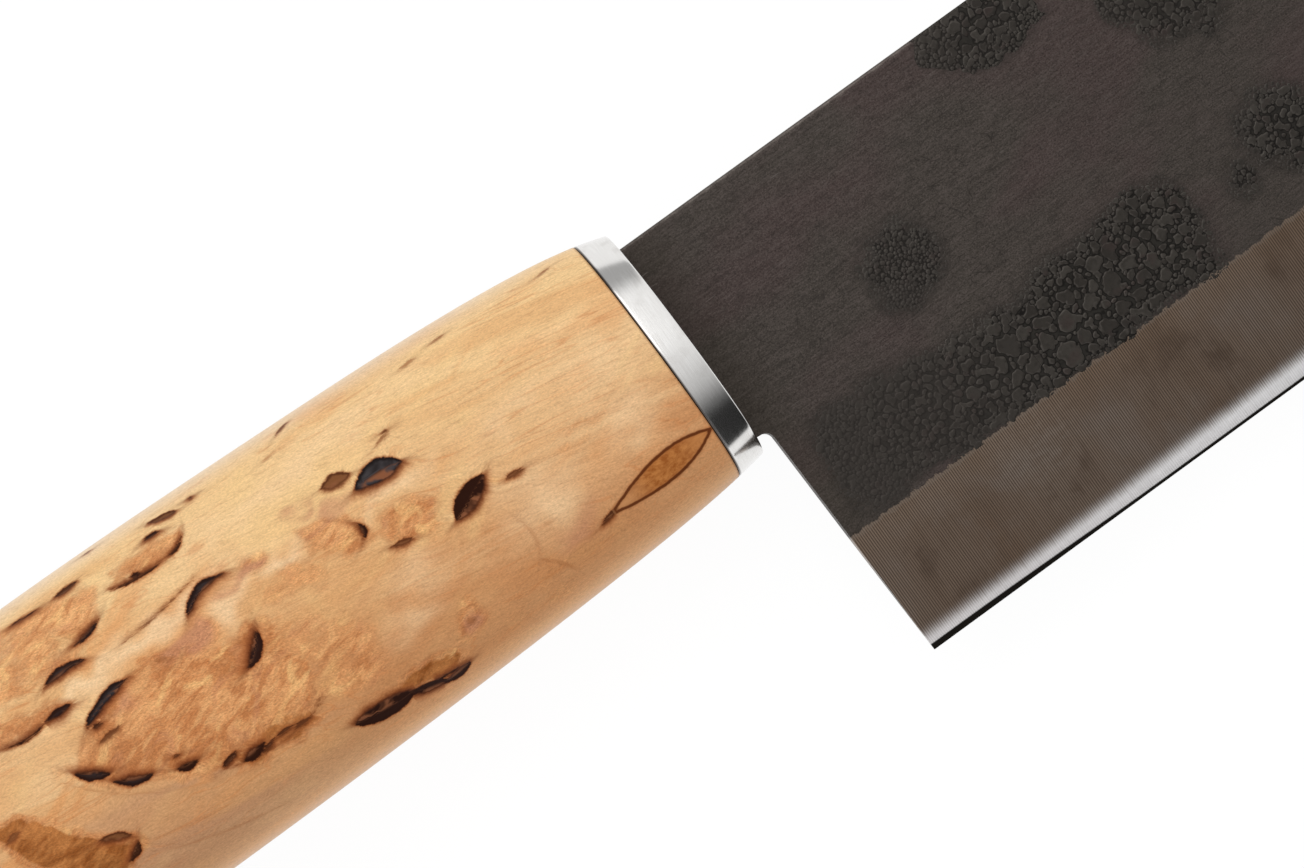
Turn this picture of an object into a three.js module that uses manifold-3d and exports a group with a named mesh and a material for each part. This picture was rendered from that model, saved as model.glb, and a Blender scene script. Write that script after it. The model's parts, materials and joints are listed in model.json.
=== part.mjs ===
// A santoku kitchen knife with a hidden tang: forged blade, bolster plate, birch grip and the resin that holds them.
// Millimetres, +Z up. The knife lies on its left side, point towards +X and spine towards +Y.
// Each piece is drawn in the knife's own frame: x = 0 on the bolster's front face, y = 0 on the grip's centreline
// and z = 0 on the blade's middle plane. At the end the whole knife is laid down on the table.
import * as THREE from "three";
import { mergeVertices } from "three/addons/utils/BufferGeometryUtils.js";
import Module from "manifold-3d";

const wasm = await Module();
wasm.setup();

// Blade, seen from the side
const BLADE_LENGTH = 175; // bolster face to point
const BLADE_HEIGHT = 48; // spine to edge at the heel
const SPINE_STRAIGHT = 92; // straight run of the spine
const EDGE_STRAIGHT = 70; // straight run of the edge
const POINT_RISE = 11; // point above the straight edge
const POINT_SPINE_ANGLE = THREE.MathUtils.degToRad(58); // steepness of the spine where it meets the point
const POINT_EDGE_ANGLE = THREE.MathUtils.degToRad(27); // steepness of the edge where it meets the point
const SPINE_INSET = 1.85; // spine inside the bolster's outline
const NECK_INSET = 1.5; // underside of the neck inside the bolster's outline
const HEEL_GAP = 1.7; // bolster face to the heel, at the choil
const HEEL_LEAN = 0.6; // how far the heel's corner leans towards the point
const CHOIL_RADIUS = 0.9;

// Blade, seen in section
const SPINE_THICKNESS = 3.0; // at the bolster
const POINT_THICKNESS = 1.7; // of the spine's plane at the point
const BEVEL_TOP_THICKNESS = 2.5; // where the ground bevel starts, at the bolster
const BEVEL_HEIGHT = 13.2; // ground bevel, measured from the edge
const ROUNDED_HEIGHT = 4.2; // lowest part of the bevel, ground slightly convex
const ROUNDED_BULGE = 0.09; // how far that part stands proud of a flat bevel
const MICRO_HEIGHT = 0.6; // sharpened facet along the edge
const MICRO_THICKNESS = 0.3; // blade thickness where that facet starts
const EDGE_THICKNESS = 0.05; // width left on the edge itself

// Tang
const TANG_ROOT_HEIGHT = 13;
const TANG_END_HEIGHT = 7;
const TANG_THICKNESS = 2.6;
const TANG_IN_BLADE = 6; // overlap that makes tang and blade one forging
const WOOD_BEHIND_TANG = 28; // solid wood between the tang's end and the butt

// Bolster and grip, measured as half sizes of the oval at the bolster's front face
const BOLSTER_LENGTH = 3.1;
const BOLSTER_EASE = 0.35; // rounding of the bolster's front rim
const FRONT_HALF_HEIGHT = 12.65;
const FRONT_HALF_WIDTH = 10;
const GRIP_LENGTH = 122; // bolster to butt
const BELLY_AT = 65; // thickest place, behind the bolster's front face
const FLARE_RUN = 6; // distance over which the grip opens out behind the bolster
const FLARE = { top: 1.5, bottom: 0.8, side: 0.6 };
const SWELL = { top: 3.3, bottom: 1.6, side: 1.5 };
const WIDEST_BELOW_AXIS = 0.24; // share of the lower half height at which the oval is widest
const TOP_ROUNDNESS = 1.95; // exponent of the oval above its widest line
const BOTTOM_ROUNDNESS = 2.4; // exponent of the oval below it
const BUTT_DOME = 13; // length over which the butt rounds off
const BUTT_ROUNDNESS = 2.5;
const BUTT_FACE = 0.35; // share of the section that stays as the butt's end face

// Joints
const CLEARANCE = 0.15; // open joint between neighbouring pieces
const RESIN_THICKNESS = 1.2; // tang to bore wall

// Fineness of the faceted surfaces
const CURVE_STEPS = 20;
const GRIP_STATIONS = 26;
const DOME_STATIONS = 7;
const OVAL_STEPS = 36;
const GRIND_OVERRUN = 12; // how far a grinding cut runs past the blade

// Places that follow from the sizes above
const spineY = FRONT_HALF_HEIGHT - SPINE_INSET;
const edgeY = spineY - BLADE_HEIGHT;
const neckY = NECK_INSET - FRONT_HALF_HEIGHT;
const heelX = HEEL_GAP + HEEL_LEAN;
const pointY = edgeY + POINT_RISE;
const gripFront = BOLSTER_LENGTH + CLEARANCE;
const gripEnd = BOLSTER_LENGTH + GRIP_LENGTH;
const tangEnd = gripEnd - WOOD_BEHIND_TANG;

// Half thickness of the forged flats: a plane that thins from bolster to point and from spine to bevel.
function flatHalf(x, y) {
  const alongSlope = (SPINE_THICKNESS - POINT_THICKNESS) / 2 / BLADE_LENGTH;
  const acrossSlope = (SPINE_THICKNESS - BEVEL_TOP_THICKNESS) / 2 / (BLADE_HEIGHT - BEVEL_HEIGHT);
  return SPINE_THICKNESS / 2 - alongSlope * x - acrossSlope * (spineY - y);
}

// A closed geometry as a solid that can be joined and cut.
function solidOf(geometry) {
  const bare = geometry.clone();
  bare.deleteAttribute("normal");
  bare.deleteAttribute("uv");
  const merged = mergeVertices(bare);
  return new wasm.Manifold(
    new wasm.Mesh({
      numProp: 3,
      vertProperties: merged.attributes.position.array,
      triVerts: new Uint32Array(merged.index.array),
    }),
  );
}

function geometryOf(solid) {
  const { vertProperties, triVerts } = solid.getMesh();
  const geometry = new THREE.BufferGeometry();
  geometry.setAttribute("position", new THREE.BufferAttribute(vertProperties, 3));
  geometry.setIndex(new THREE.BufferAttribute(triVerts, 1));
  geometry.computeVertexNormals();
  return geometry;
}

// A flat outline given thickness on both sides of z = 0. halfThickness is a linear function of x and y.
function plate(shape, halfThickness) {
  const geometry = new THREE.ExtrudeGeometry(shape, { depth: 1, bevelEnabled: false, curveSegments: CURVE_STEPS });
  const position = geometry.getAttribute("position");
  for (let i = 0; i < position.count; i++) {
    const half = halfThickness(position.getX(i), position.getY(i));
    position.setZ(i, position.getZ(i) > 0.5 ? half : -half);
  }
  return geometry;
}

// A closed skin over sections of equal point count. Each section is a counter-clockwise outline seen against
// the direction of travel, and place(section point, station) puts it in space.
function loft(stations, outlineAt, place) {
  const outlines = stations.map(outlineAt);
  const count = outlines[0].length;
  const positions = outlines.flatMap((outline, i) => outline.flatMap((p) => place(p, stations[i]).toArray()));
  const index = [];
  for (let i = 0; i + 1 < stations.length; i++) {
    for (let j = 0; j < count; j++) {
      const [a, b] = [i * count + j, i * count + ((j + 1) % count)];
      index.push(a, b, b + count, a, b + count, a + count);
    }
  }
  const lastRing = (stations.length - 1) * count;
  for (const [a, b, c] of THREE.ShapeUtils.triangulateShape(outlines[0], [])) index.push(c, b, a);
  for (const [a, b, c] of THREE.ShapeUtils.triangulateShape(outlines.at(-1), [])) {
    index.push(lastRing + a, lastRing + b, lastRing + c);
  }
  const geometry = new THREE.BufferGeometry();
  geometry.setAttribute("position", new THREE.Float32BufferAttribute(positions, 3));
  geometry.setIndex(index);
  return geometry;
}

// The edge from the end of its straight run to the point, and the spine from the point back to its straight run.
function controlPoint(end, angle, reach) {
  return new THREE.Vector2(end.x - reach * Math.cos(angle), end.y - reach * Math.sin(angle));
}
const point = new THREE.Vector2(BLADE_LENGTH, pointY);
const edgeRun = BLADE_LENGTH - EDGE_STRAIGHT;
const spineRun = BLADE_LENGTH - SPINE_STRAIGHT;
const edgeCurve = new THREE.CubicBezierCurve(
  new THREE.Vector2(EDGE_STRAIGHT, edgeY),
  new THREE.Vector2(EDGE_STRAIGHT + edgeRun / 2, edgeY),
  controlPoint(point, POINT_EDGE_ANGLE, edgeRun / 6),
  point,
);
const spineCurve = new THREE.CubicBezierCurve(
  point,
  controlPoint(point, -POINT_SPINE_ANGLE, spineRun / 3),
  new THREE.Vector2(SPINE_STRAIGHT + spineRun / 2, spineY),
  new THREE.Vector2(SPINE_STRAIGHT, spineY),
);

function bladeOutline() {
  const shape = new THREE.Shape();
  shape.moveTo(CLEARANCE, spineY);
  shape.lineTo(CLEARANCE, neckY);
  shape.lineTo(HEEL_GAP - CHOIL_RADIUS, neckY);
  shape.absarc(HEEL_GAP - CHOIL_RADIUS, neckY - CHOIL_RADIUS, CHOIL_RADIUS, Math.PI / 2, 0, true);
  shape.lineTo(heelX, edgeY);
  shape.lineTo(EDGE_STRAIGHT, edgeY);
  shape.curves.push(edgeCurve, spineCurve);
  shape.currentPoint.copy(spineCurve.v3);
  shape.closePath();
  return shape;
}

// The tang from a place near the bolster to its round end, grown all round by an allowance.
function tangOutline(front, allowance) {
  const endHalf = TANG_END_HEIGHT / 2;
  const endCentre = endHalf - tangEnd;
  const taper = (TANG_ROOT_HEIGHT / 2 - endHalf) / -endCentre;
  const frontHalf = endHalf + taper * (front - endCentre) + allowance;
  const shape = new THREE.Shape();
  shape.moveTo(front, frontHalf);
  shape.lineTo(endCentre, endHalf + allowance);
  shape.absarc(endCentre, 0, endHalf + allowance, Math.PI / 2, (3 * Math.PI) / 2, false);
  shape.lineTo(front, -frontHalf);
  shape.closePath();
  return shape;
}

function tangSolid(front, allowance) {
  return solidOf(plate(tangOutline(front, allowance), () => TANG_THICKNESS / 2 + allowance));
}

// Everything that grinding takes off one side of the blade: side is 1 on the right and -1 on the left.
function grindSolid(side) {
  const along = edgeCurve.getPoints(CURVE_STEPS).map((p, i) => ({ p, t: edgeCurve.getTangent(i / CURVE_STEPS) }));
  const straight = new THREE.Vector2(1, 0);
  const end = along.at(-1);
  const stations = [
    { p: new THREE.Vector2(heelX - GRIND_OVERRUN, edgeY), t: straight },
    ...along,
    { p: end.p.clone().addScaledVector(end.t, GRIND_OVERRUN), t: end.t },
  ];
  const outlineAt = ({ p, t }) => {
    const bevelHalf = flatHalf(p.x - t.y * BEVEL_HEIGHT, p.y + t.x * BEVEL_HEIGHT);
    const microHalf = MICRO_THICKNESS / 2;
    const slope = (bevelHalf - microHalf) / (BEVEL_HEIGHT - MICRO_HEIGHT);
    const roundedHalf = microHalf + slope * (ROUNDED_HEIGHT - MICRO_HEIGHT) + ROUNDED_BULGE;
    const outside = SPINE_THICKNESS;
    const runOut = (outside - bevelHalf) / slope;
    const outline = [
      [-GRIND_OVERRUN, EDGE_THICKNESS / 2],
      [0, EDGE_THICKNESS / 2],
      [MICRO_HEIGHT, microHalf],
      [ROUNDED_HEIGHT, roundedHalf],
      [BEVEL_HEIGHT, bevelHalf],
      [BEVEL_HEIGHT + runOut, outside],
      [-GRIND_OVERRUN, outside],
    ].map(([inward, half]) => new THREE.Vector2(inward, side * half));
    return side > 0 ? outline : outline.reverse();
  };
  const place = (q, { p, t }) => new THREE.Vector3(p.x - t.y * q.x, p.y + t.x * q.x, q.y);
  return solidOf(loft(stations, outlineAt, place));
}

function bladeGeometry() {
  const blank = solidOf(plate(bladeOutline(), flatHalf));
  const forged = blank.add(tangSolid(TANG_IN_BLADE, 0));
  return geometryOf(forged.subtract(grindSolid(1)).subtract(grindSolid(-1)));
}

// Half sizes of the oval at a distance behind the bolster's front face.
function gripHalf(distance, front, part) {
  const flare = FLARE[part] * (1 - Math.exp(-distance / FLARE_RUN));
  const swell = SWELL[part] * (1 - (1 - distance / BELLY_AT) ** 2);
  return front + flare + swell;
}

// The oval as points (z, y), narrow at the top and full below, shrunk towards its centre by a share.
function ovalOutline(distance, share) {
  const top = gripHalf(distance, FRONT_HALF_HEIGHT, "top");
  const bottom = gripHalf(distance, FRONT_HALF_HEIGHT, "bottom");
  const side = gripHalf(distance, FRONT_HALF_WIDTH, "side");
  const widest = -WIDEST_BELOW_AXIS * bottom;
  return Array.from({ length: OVAL_STEPS }, (_, i) => {
    const angle = (2 * Math.PI * i) / OVAL_STEPS;
    const [c, s] = [Math.cos(angle), Math.sin(angle)];
    const power = 2 / (s > 0 ? TOP_ROUNDNESS : BOTTOM_ROUNDNESS);
    const reach = s > 0 ? top - widest : bottom + widest;
    const z = side * Math.sign(c) * Math.abs(c) ** power;
    const y = widest + reach * Math.sign(s) * Math.abs(s) ** power;
    return new THREE.Vector2(z * share, y * share);
  });
}

function ovalLoft(stations) {
  const outlineAt = ({ distance, share }) => ovalOutline(distance, share);
  return loft(stations, outlineAt, (q, { distance }) => new THREE.Vector3(-distance, q.y, q.x));
}

function bolsterGeometry() {
  const rim = 1 - BOLSTER_EASE / FRONT_HALF_HEIGHT;
  const stations = [
    { distance: 0, share: rim },
    { distance: BOLSTER_EASE, share: 1 },
    { distance: BOLSTER_LENGTH, share: 1 },
  ];
  return geometryOf(solidOf(ovalLoft(stations)).subtract(tangSolid(TANG_IN_BLADE, CLEARANCE)));
}

function gripGeometry() {
  const domeStart = gripEnd - BUTT_DOME;
  const body = Array.from({ length: GRIP_STATIONS }, (_, i) => ({
    distance: gripFront + ((domeStart - gripFront) * i) / GRIP_STATIONS,
    share: 1,
  }));
  const fullTurn = Math.acos(BUTT_FACE ** (BUTT_ROUNDNESS / 2));
  const dome = Array.from({ length: DOME_STATIONS + 1 }, (_, i) => {
    const turn = (fullTurn * i) / DOME_STATIONS;
    const deep = (Math.sin(turn) / Math.sin(fullTurn)) ** (2 / BUTT_ROUNDNESS);
    return { distance: domeStart + BUTT_DOME * deep, share: Math.cos(turn) ** (2 / BUTT_ROUNDNESS) };
  });
  const bore = tangSolid(TANG_IN_BLADE, RESIN_THICKNESS);
  return geometryOf(solidOf(ovalLoft([...body, ...dome])).subtract(bore));
}

// Cured resin between the tang and the bore, cut off level with the grip's front face.
function resinGeometry() {
  const filling = tangSolid(-gripFront, RESIN_THICKNESS - CLEARANCE);
  return geometryOf(filling.subtract(tangSolid(TANG_IN_BLADE, CLEARANCE)));
}

function piece(name, geometry, color, roughness, metalness) {
  const mesh = new THREE.Mesh(geometry, new THREE.MeshStandardMaterial({ color, roughness, metalness }));
  mesh.name = name;
  return mesh;
}

const blade = piece("blade", bladeGeometry(), 0x3f3a37, 0.55, 0.9);
const bolster = piece("bolster", bolsterGeometry(), 0xc9c5c3, 0.35, 1);
const grip = piece("grip", gripGeometry(), 0xdcb280, 0.5, 0);
const resin = piece("tang_resin", resinGeometry(), 0xb9a074, 0.3, 0);

// The pitch at which the blade's point and the side of the grip both touch the table.
function restPitch() {
  const lowest = (mesh, pitch) => {
    const position = mesh.geometry.getAttribute("position");
    const height = (i) => position.getZ(i) * Math.cos(pitch) - position.getX(i) * Math.sin(pitch);
    return Array.from({ length: position.count }, (_, i) => height(i)).reduce((a, b) => Math.min(a, b));
  };
  let [low, high] = [0, Math.PI / 6];
  for (let i = 0; i < 40; i++) {
    const middle = (low + high) / 2;
    if (lowest(blade, middle) > lowest(grip, middle)) low = middle;
    else high = middle;
  }
  return low;
}

const knife = new THREE.Group();
knife.add(blade, bolster, grip, resin);
knife.rotation.y = restPitch();

const laid = new THREE.Box3().setFromObject(knife, true);
const middle = laid.getCenter(new THREE.Vector3());
knife.position.set(-middle.x, -middle.y, -laid.min.z);

const part = new THREE.Group();
part.add(knife);

export default part;
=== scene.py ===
# %% [markdown]
# # A santoku knife with a black forged blade and a curly birch grip
#
# The knife lies on its left side on a white table and is seen from straight above. The solids
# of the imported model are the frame: every piece made here sits where its solid sits and only
# adds the finer shape and the finish. Lengths are in millimetres up to the moment a mesh is
# made, because a knife maker works in them.

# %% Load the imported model
import json
import math
import bpy
import numpy as np
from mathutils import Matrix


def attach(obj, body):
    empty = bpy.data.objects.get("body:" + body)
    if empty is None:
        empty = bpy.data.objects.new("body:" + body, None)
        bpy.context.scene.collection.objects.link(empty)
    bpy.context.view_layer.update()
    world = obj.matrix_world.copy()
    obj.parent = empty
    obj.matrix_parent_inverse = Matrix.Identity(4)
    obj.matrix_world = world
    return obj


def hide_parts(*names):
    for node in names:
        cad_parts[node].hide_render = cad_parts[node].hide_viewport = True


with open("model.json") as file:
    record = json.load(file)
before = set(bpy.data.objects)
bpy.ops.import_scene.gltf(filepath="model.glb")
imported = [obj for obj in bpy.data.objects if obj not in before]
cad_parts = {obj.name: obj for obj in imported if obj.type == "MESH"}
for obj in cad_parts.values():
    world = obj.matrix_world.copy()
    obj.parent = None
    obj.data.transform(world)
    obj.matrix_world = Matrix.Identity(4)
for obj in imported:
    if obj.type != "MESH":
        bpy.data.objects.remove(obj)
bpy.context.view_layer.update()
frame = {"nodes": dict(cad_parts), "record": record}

# %% [markdown]
# ## The knife's own axes
#
# The shapes are easiest to write along the knife: x runs from the bolster's front face to the
# point, y from the grip's axis to the spine, and z out of the right side of the blade. The
# knife lies tilted on the table, so these axes have to be turned into the model's. The record
# holds the middle of both blade flats with the directions they face, and the halfway between
# those two directions is the knife's z. No angle needs to be typed in that way.

# %% From knife millimetres to the model's metres
mounts = {mount["name"]: mount for mount in frame["record"]["mounts"]}
right_flat, left_flat = mounts["blade_flat_right"], mounts["blade_flat_left"]
across = np.subtract(right_flat["axis"], left_flat["axis"])
across /= np.linalg.norm(across)
upward = np.array([0.0, 1.0, 0.0])
KNIFE_AXES = np.stack([np.cross(upward, across), upward, across])
FLAT_MIDDLE = np.array([55.0, -5.0, 0.0])
ORIGIN = np.add(right_flat["pos_m"], left_flat["pos_m"]) / 2 - FLAT_MIDDLE @ KNIFE_AXES / 1000


def to_model(points):
    """Each point is x, y and z times the knife's three axes, in metres, from the knife's origin."""
    return np.asarray(points) @ KNIFE_AXES / 1000 + ORIGIN


print("knife tilted by", round(math.degrees(math.asin(across[0])), 2), "degrees")

# %% [markdown]
# ## The camera
#
# The picture is a close view from straight above, with the knife running from the lower left
# to the upper right. A long lens from half a metre keeps the far and near parts at nearly the
# same scale, as in product pictures.

# %% Camera above the bolster
AIM_MM, CAMERA_HEIGHT, CAMERA_TURN = [-7.4, -5.06, 0.0], 0.4545, math.radians(-35.9)
scene = bpy.context.scene
scene.view_settings.view_transform = "Standard"
camera = bpy.data.objects.new("camera", bpy.data.cameras.new("camera"))
camera.data.lens = 133
camera.data.sensor_width = 36
camera.location = to_model(AIM_MM) + [0, 0, CAMERA_HEIGHT]
camera.rotation_euler = (0, 0, CAMERA_TURN)
scene.collection.objects.link(camera)
scene.camera = camera
print("camera at", [round(v, 4) for v in camera.location])

# %% [markdown]
# ## Meshes from arrays
#
# Every piece is a grid of points: rings that follow one another along the knife. A helper joins
# neighbouring rings with four-cornered faces, and another puts points, faces and named values
# into a Blender mesh. Such named values, called attributes, travel with the points, and the
# finishes read them: how far a point is from the cutting edge, or from a dark fleck in the wood.

# %% Grid faces and the mesh helper
def ring_faces(stations, around):
    """Quads between ring i and ring i+1.

    Seen along the path, the rings turn from +y to +z, so faces look out.
    """
    i, j = np.meshgrid(np.arange(stations - 1), np.arange(around), indexing="ij")
    here, there, k = i * around, (i + 1) * around, (j + 1) % around
    return np.stack([here + j, here + k, there + k, there + j], -1).reshape(-1, 4)


def make_piece(name, points, faces, values, sharp):
    """A mesh object at the origin from knife millimetres, with one attribute for each named array.

    Edges that turn by more than sharp degrees stay crisp.
    """
    mesh = bpy.data.meshes.new(name)
    mesh.from_pydata(to_model(points).tolist(), [], [face for block in faces for face in block.tolist()])
    for label, numbers in values.items():
        numbers = np.ascontiguousarray(numbers, dtype=np.float32)
        if numbers.ndim == 2:
            mesh.attributes.new(label, "FLOAT_VECTOR", "POINT").data.foreach_set("vector", numbers.ravel())
        else:
            mesh.attributes.new(label, "FLOAT", "POINT").data.foreach_set("value", numbers)
    mesh.polygons.foreach_set("use_smooth", np.ones(len(mesh.polygons), dtype=bool))
    mesh.set_sharp_from_angle(angle=math.radians(sharp))
    piece = bpy.data.objects.new(name, mesh)
    scene.collection.objects.link(piece)
    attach(piece, "root")
    print(name, len(mesh.vertices), "points,", len(mesh.loops) - 2 * len(mesh.polygons), "triangles")
    return piece


def soft_step(low, high, value):
    """0 below low, 1 above high, and 3t^2 - 2t^3 between them."""
    t = np.clip((value - low) / (high - low), 0, 1)
    return t * t * (3 - 2 * t)


LATTICE = 97


def soft_noise(a, b, cell, seed):
    """Random heights from -0.5 to 0.5 on a square lattice of cells, blended smoothly in between."""
    lattice = np.random.default_rng(seed).random((LATTICE, LATTICE)) - 0.5
    i, j = np.floor(a / cell).astype(int), np.floor(b / cell).astype(int)
    s, t = a / cell - i, b / cell - j
    s, t = s * s * (3 - 2 * s), t * t * (3 - 2 * t)
    i, j, i1, j1 = i % LATTICE, j % LATTICE, (i + 1) % LATTICE, (j + 1) % LATTICE
    low = lattice[i, j] * (1 - s) + lattice[i1, j] * s
    high = lattice[i, j1] * (1 - s) + lattice[i1, j1] * s
    return low * (1 - t) + high * t


print("soft noise repeats after", LATTICE, "cells")

# %% [markdown]
# ## The blade's outline
#
# Seen from the side, the spine and the edge run straight from the heel and then curve to the
# point, the way a santoku's do. Points set one by one would leave dents, so each curve is one
# cubic Bezier curve. The blade is cut into stations along x, so all that is needed later is the
# height of spine and edge at a given x.

# %% Spine and edge as functions of x
BLADE_LENGTH, SPINE_Y, EDGE_Y = 175.0, 10.8, -37.199
EDGE_STRAIGHT, SPINE_STRAIGHT = 70, 92
POINT = (BLADE_LENGTH, -26.2)
CURVE_STEPS, SLOPE_STEP = 600, 0.2


def bezier(p0, p1, p2, p3):
    """The four control points weighted by (1-t)^3, 3t(1-t)^2, 3t^2(1-t) and t^3."""
    t = np.linspace(0, 1, CURVE_STEPS)[:, None]
    p0, p1, p2, p3 = (np.array(p) for p in (p0, p1, p2, p3))
    return (1 - t) ** 3 * p0 + 3 * t * (1 - t) ** 2 * p1 + 3 * t**2 * (1 - t) * p2 + t**3 * p3


edge_curve = bezier((EDGE_STRAIGHT, EDGE_Y), (122.5, EDGE_Y), (159.41, -34.14), POINT)
spine_curve = bezier(POINT, (160.34, -2.74), (133.5, SPINE_Y), (SPINE_STRAIGHT, SPINE_Y))[::-1]


def edge_y(x):
    """Height of the cutting edge: straight at first, then the curve to the point."""
    return np.interp(x, edge_curve[:, 0], edge_curve[:, 1])


def spine_y(x):
    """Height of the spine: straight at first, then the curve down to the point."""
    return np.interp(x, spine_curve[:, 0], spine_curve[:, 1])


def edge_slope(x):
    """Rise of the cutting edge from a step before x to a step after it, divided by both steps."""
    return (edge_y(x + SLOPE_STEP) - edge_y(x - SLOPE_STEP)) / (2 * SLOPE_STEP)


def edge_distance(x, y):
    """Height above the edge times the cosine of the edge's slope: the distance square to the edge."""
    return (y - edge_y(x)) / np.sqrt(1 + edge_slope(x) ** 2)


print("blade height at the heel:", SPINE_Y - EDGE_Y, "mm")

# %% [markdown]
# ## The blade's thickness
#
# The forged flats taper a little towards the point and towards the edge. The lowest 13 mm are
# ground: nearly flat at first, rounding over in the last few millimetres, with a narrow
# sharpened strip at the very edge. Taking the smaller of the two thicknesses at each place gives
# the crisp line where the grinding wheel met the black flat.

# %% Half thickness of flats and ground bevel
BEVEL, SHARPENED = 13.2, 0.6
HEEL_HALF, POINT_LOSS, EDGE_LOSS, FLAT_TALL = 1.5, 0.65, 0.25, 34.8
EDGE_HALF, STRIP_HALF, BULGE, BULGE_AT = 0.025, 0.15, 0.09, 0.29


def flat_half(x, y):
    """Half thickness of the flats: largest at the heel's spine, falling evenly along x and down y."""
    return HEEL_HALF - POINT_LOSS / BLADE_LENGTH * x - EDGE_LOSS / FLAT_TALL * (SPINE_Y - y)


def ground_half(x, y):
    """Half thickness of the grind: a straight rise from the sharpened strip to the flat, plus a bulge.

    The bulge is p times exp(1 - p), where p is 1 low on the bevel, and it fades to none at the flat.
    """
    d = edge_distance(x, y)
    top = flat_half(x, y - d + BEVEL)
    u = np.clip((d - SHARPENED) / (BEVEL - SHARPENED), 0, 1.2)
    p = u / BULGE_AT
    bulge = BULGE * p * np.exp(1 - p) * (1 - np.clip(u, 0, 1) ** 2)
    strip = EDGE_HALF + (STRIP_HALF - EDGE_HALF) * np.clip(d / SHARPENED, 0, 1)
    return np.where(d < SHARPENED, strip, STRIP_HALF + (top - STRIP_HALF) * u + bulge)


for height in (0.6, 2.0, 4.2, 9.0, 13.2):
    half = float(ground_half(20.0, EDGE_Y + height))
    print("half thickness", height, "mm above the edge:", round(half, 3), "mm")

# %% [markdown]
# ## The blade's surface
#
# One grid makes the whole blade. Along the knife it has stations; around each station it runs
# from the middle of the spine down the right side to the edge and up the left side again. The
# rows keep to the lines that matter: the rounded spine, the notch at the neck, the top of the
# bevel and the sharpened strip. The first stations lean so that they follow the neck, the small
# round notch and the leaning heel.

# %% Stations along and rows around
NECK_Y, NOTCH, HEEL_X, HEEL_GAP, LEAN_END = -11.15, 0.9, 2.3, 1.7, 8.0
EASE, STATION_STEP, EVEN_END, LAST_X = 0.3, 0.45, 66, 174.9
notch_turn = np.linspace(0, np.pi / 2, 9)
notch_x = HEEL_GAP - NOTCH + NOTCH * np.sin(notch_turn)
notch_y = NECK_Y - NOTCH * (1 - np.cos(notch_turn))
heel_line_x = np.concatenate([[HEEL_X], notch_x[::-1], [-0.4, -0.4]])
heel_line_y = np.concatenate([[EDGE_Y], notch_y[::-1], [NECK_Y + 0.1, SPINE_Y + 1]])
flat_top, bevel_top = SPINE_Y - EASE, EDGE_Y + BEVEL
flat_rows = np.concatenate([
    np.linspace(flat_top, NECK_Y + 0.1, 48), notch_y, np.linspace(notch_y[-1] - 0.3, bevel_top, 26)])
flat_share = (flat_top - flat_rows) / (flat_top - bevel_top)
bevel_rows = np.concatenate([
    np.arange(BEVEL - 0.4, 4.1, -0.45), np.linspace(4.0, SHARPENED, 16), [0.45, 0.3, 0.15, 0.0]])
lean = np.linspace(0, 1, 20)
far = np.linspace(0, 1, 92)[1:]
stations = np.concatenate([
    LEAN_END * lean, np.arange(LEAN_END + STATION_STEP, EVEN_END, STATION_STEP),
    EVEN_END + (LAST_X - EVEN_END) * (1 - (1 - far) ** 1.25)])
print(len(stations), "stations,", len(flat_rows), "rows on the flat,", len(bevel_rows), "rows on the bevel")


# %% Build the blade
BROAD_WAVE, FINE_WAVE, LEAST_HALF = 0.035, 0.018, 0.012


def blade_side():
    """x, y and half thickness on a grid of stations and rows: spine corner, flat, bevel, edge."""
    x = np.repeat(stations[:, None], 5 + len(flat_rows) + len(bevel_rows), 1)
    top, low = spine_y(x[:, :1]), edge_y(x[:, :1])
    tall = top - low
    ease = np.minimum(EASE, 0.12 * tall)
    slope = np.sqrt(1 + edge_slope(x[:, :1]) ** 2)
    reach = np.minimum(BEVEL, 0.96 * (tall - ease) / slope)
    y_bevel_top = low + reach * slope
    y_flat = top - ease + (y_bevel_top - top + ease) * flat_share
    y_bevel = low + reach * slope * bevel_rows / BEVEL
    corner = np.radians([90, 68, 45, 22])
    y = np.concatenate([top, top - ease * (1 - np.sin(corner)), y_flat, y_bevel], 1)
    # Hammer marks: a broad and a fine wave, which fade out at bevel, spine and neck.
    wave = BROAD_WAVE * soft_noise(x * 0.7, y, 5.0, 3) + FINE_WAVE * soft_noise(x * 0.5, y, 1.6, 4)
    wave *= soft_step(BEVEL, BEVEL + 1.5, edge_distance(x, y))
    wave *= soft_step(0, 2, top - y) * soft_step(0, 3, x)
    half = np.maximum(LEAST_HALF, np.minimum(flat_half(x, y), ground_half(x, y)) - np.abs(wave))
    half[:, 1:5] -= np.minimum(ease, 0.5 * half[:, 4:5]) * (1 - np.cos(corner))
    half[:, 0] = 0
    lead = np.interp(y[: len(lean)], heel_line_y, heel_line_x)
    x[: len(lean)] = lead + lean[:, None] * (LEAN_END - lead)
    return x, y, half


def blade_points():
    """The side as it is on +z, then mirrored on -z in reverse order.

    That way each ring closes at the middle of the spine.
    """
    x, y, half = blade_side()
    both = [np.concatenate([part, part[:, :0:-1]], 1) for part in (x, y)]
    return np.stack([*both, np.concatenate([half, -half[:, :0:-1]], 1)], -1)


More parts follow.
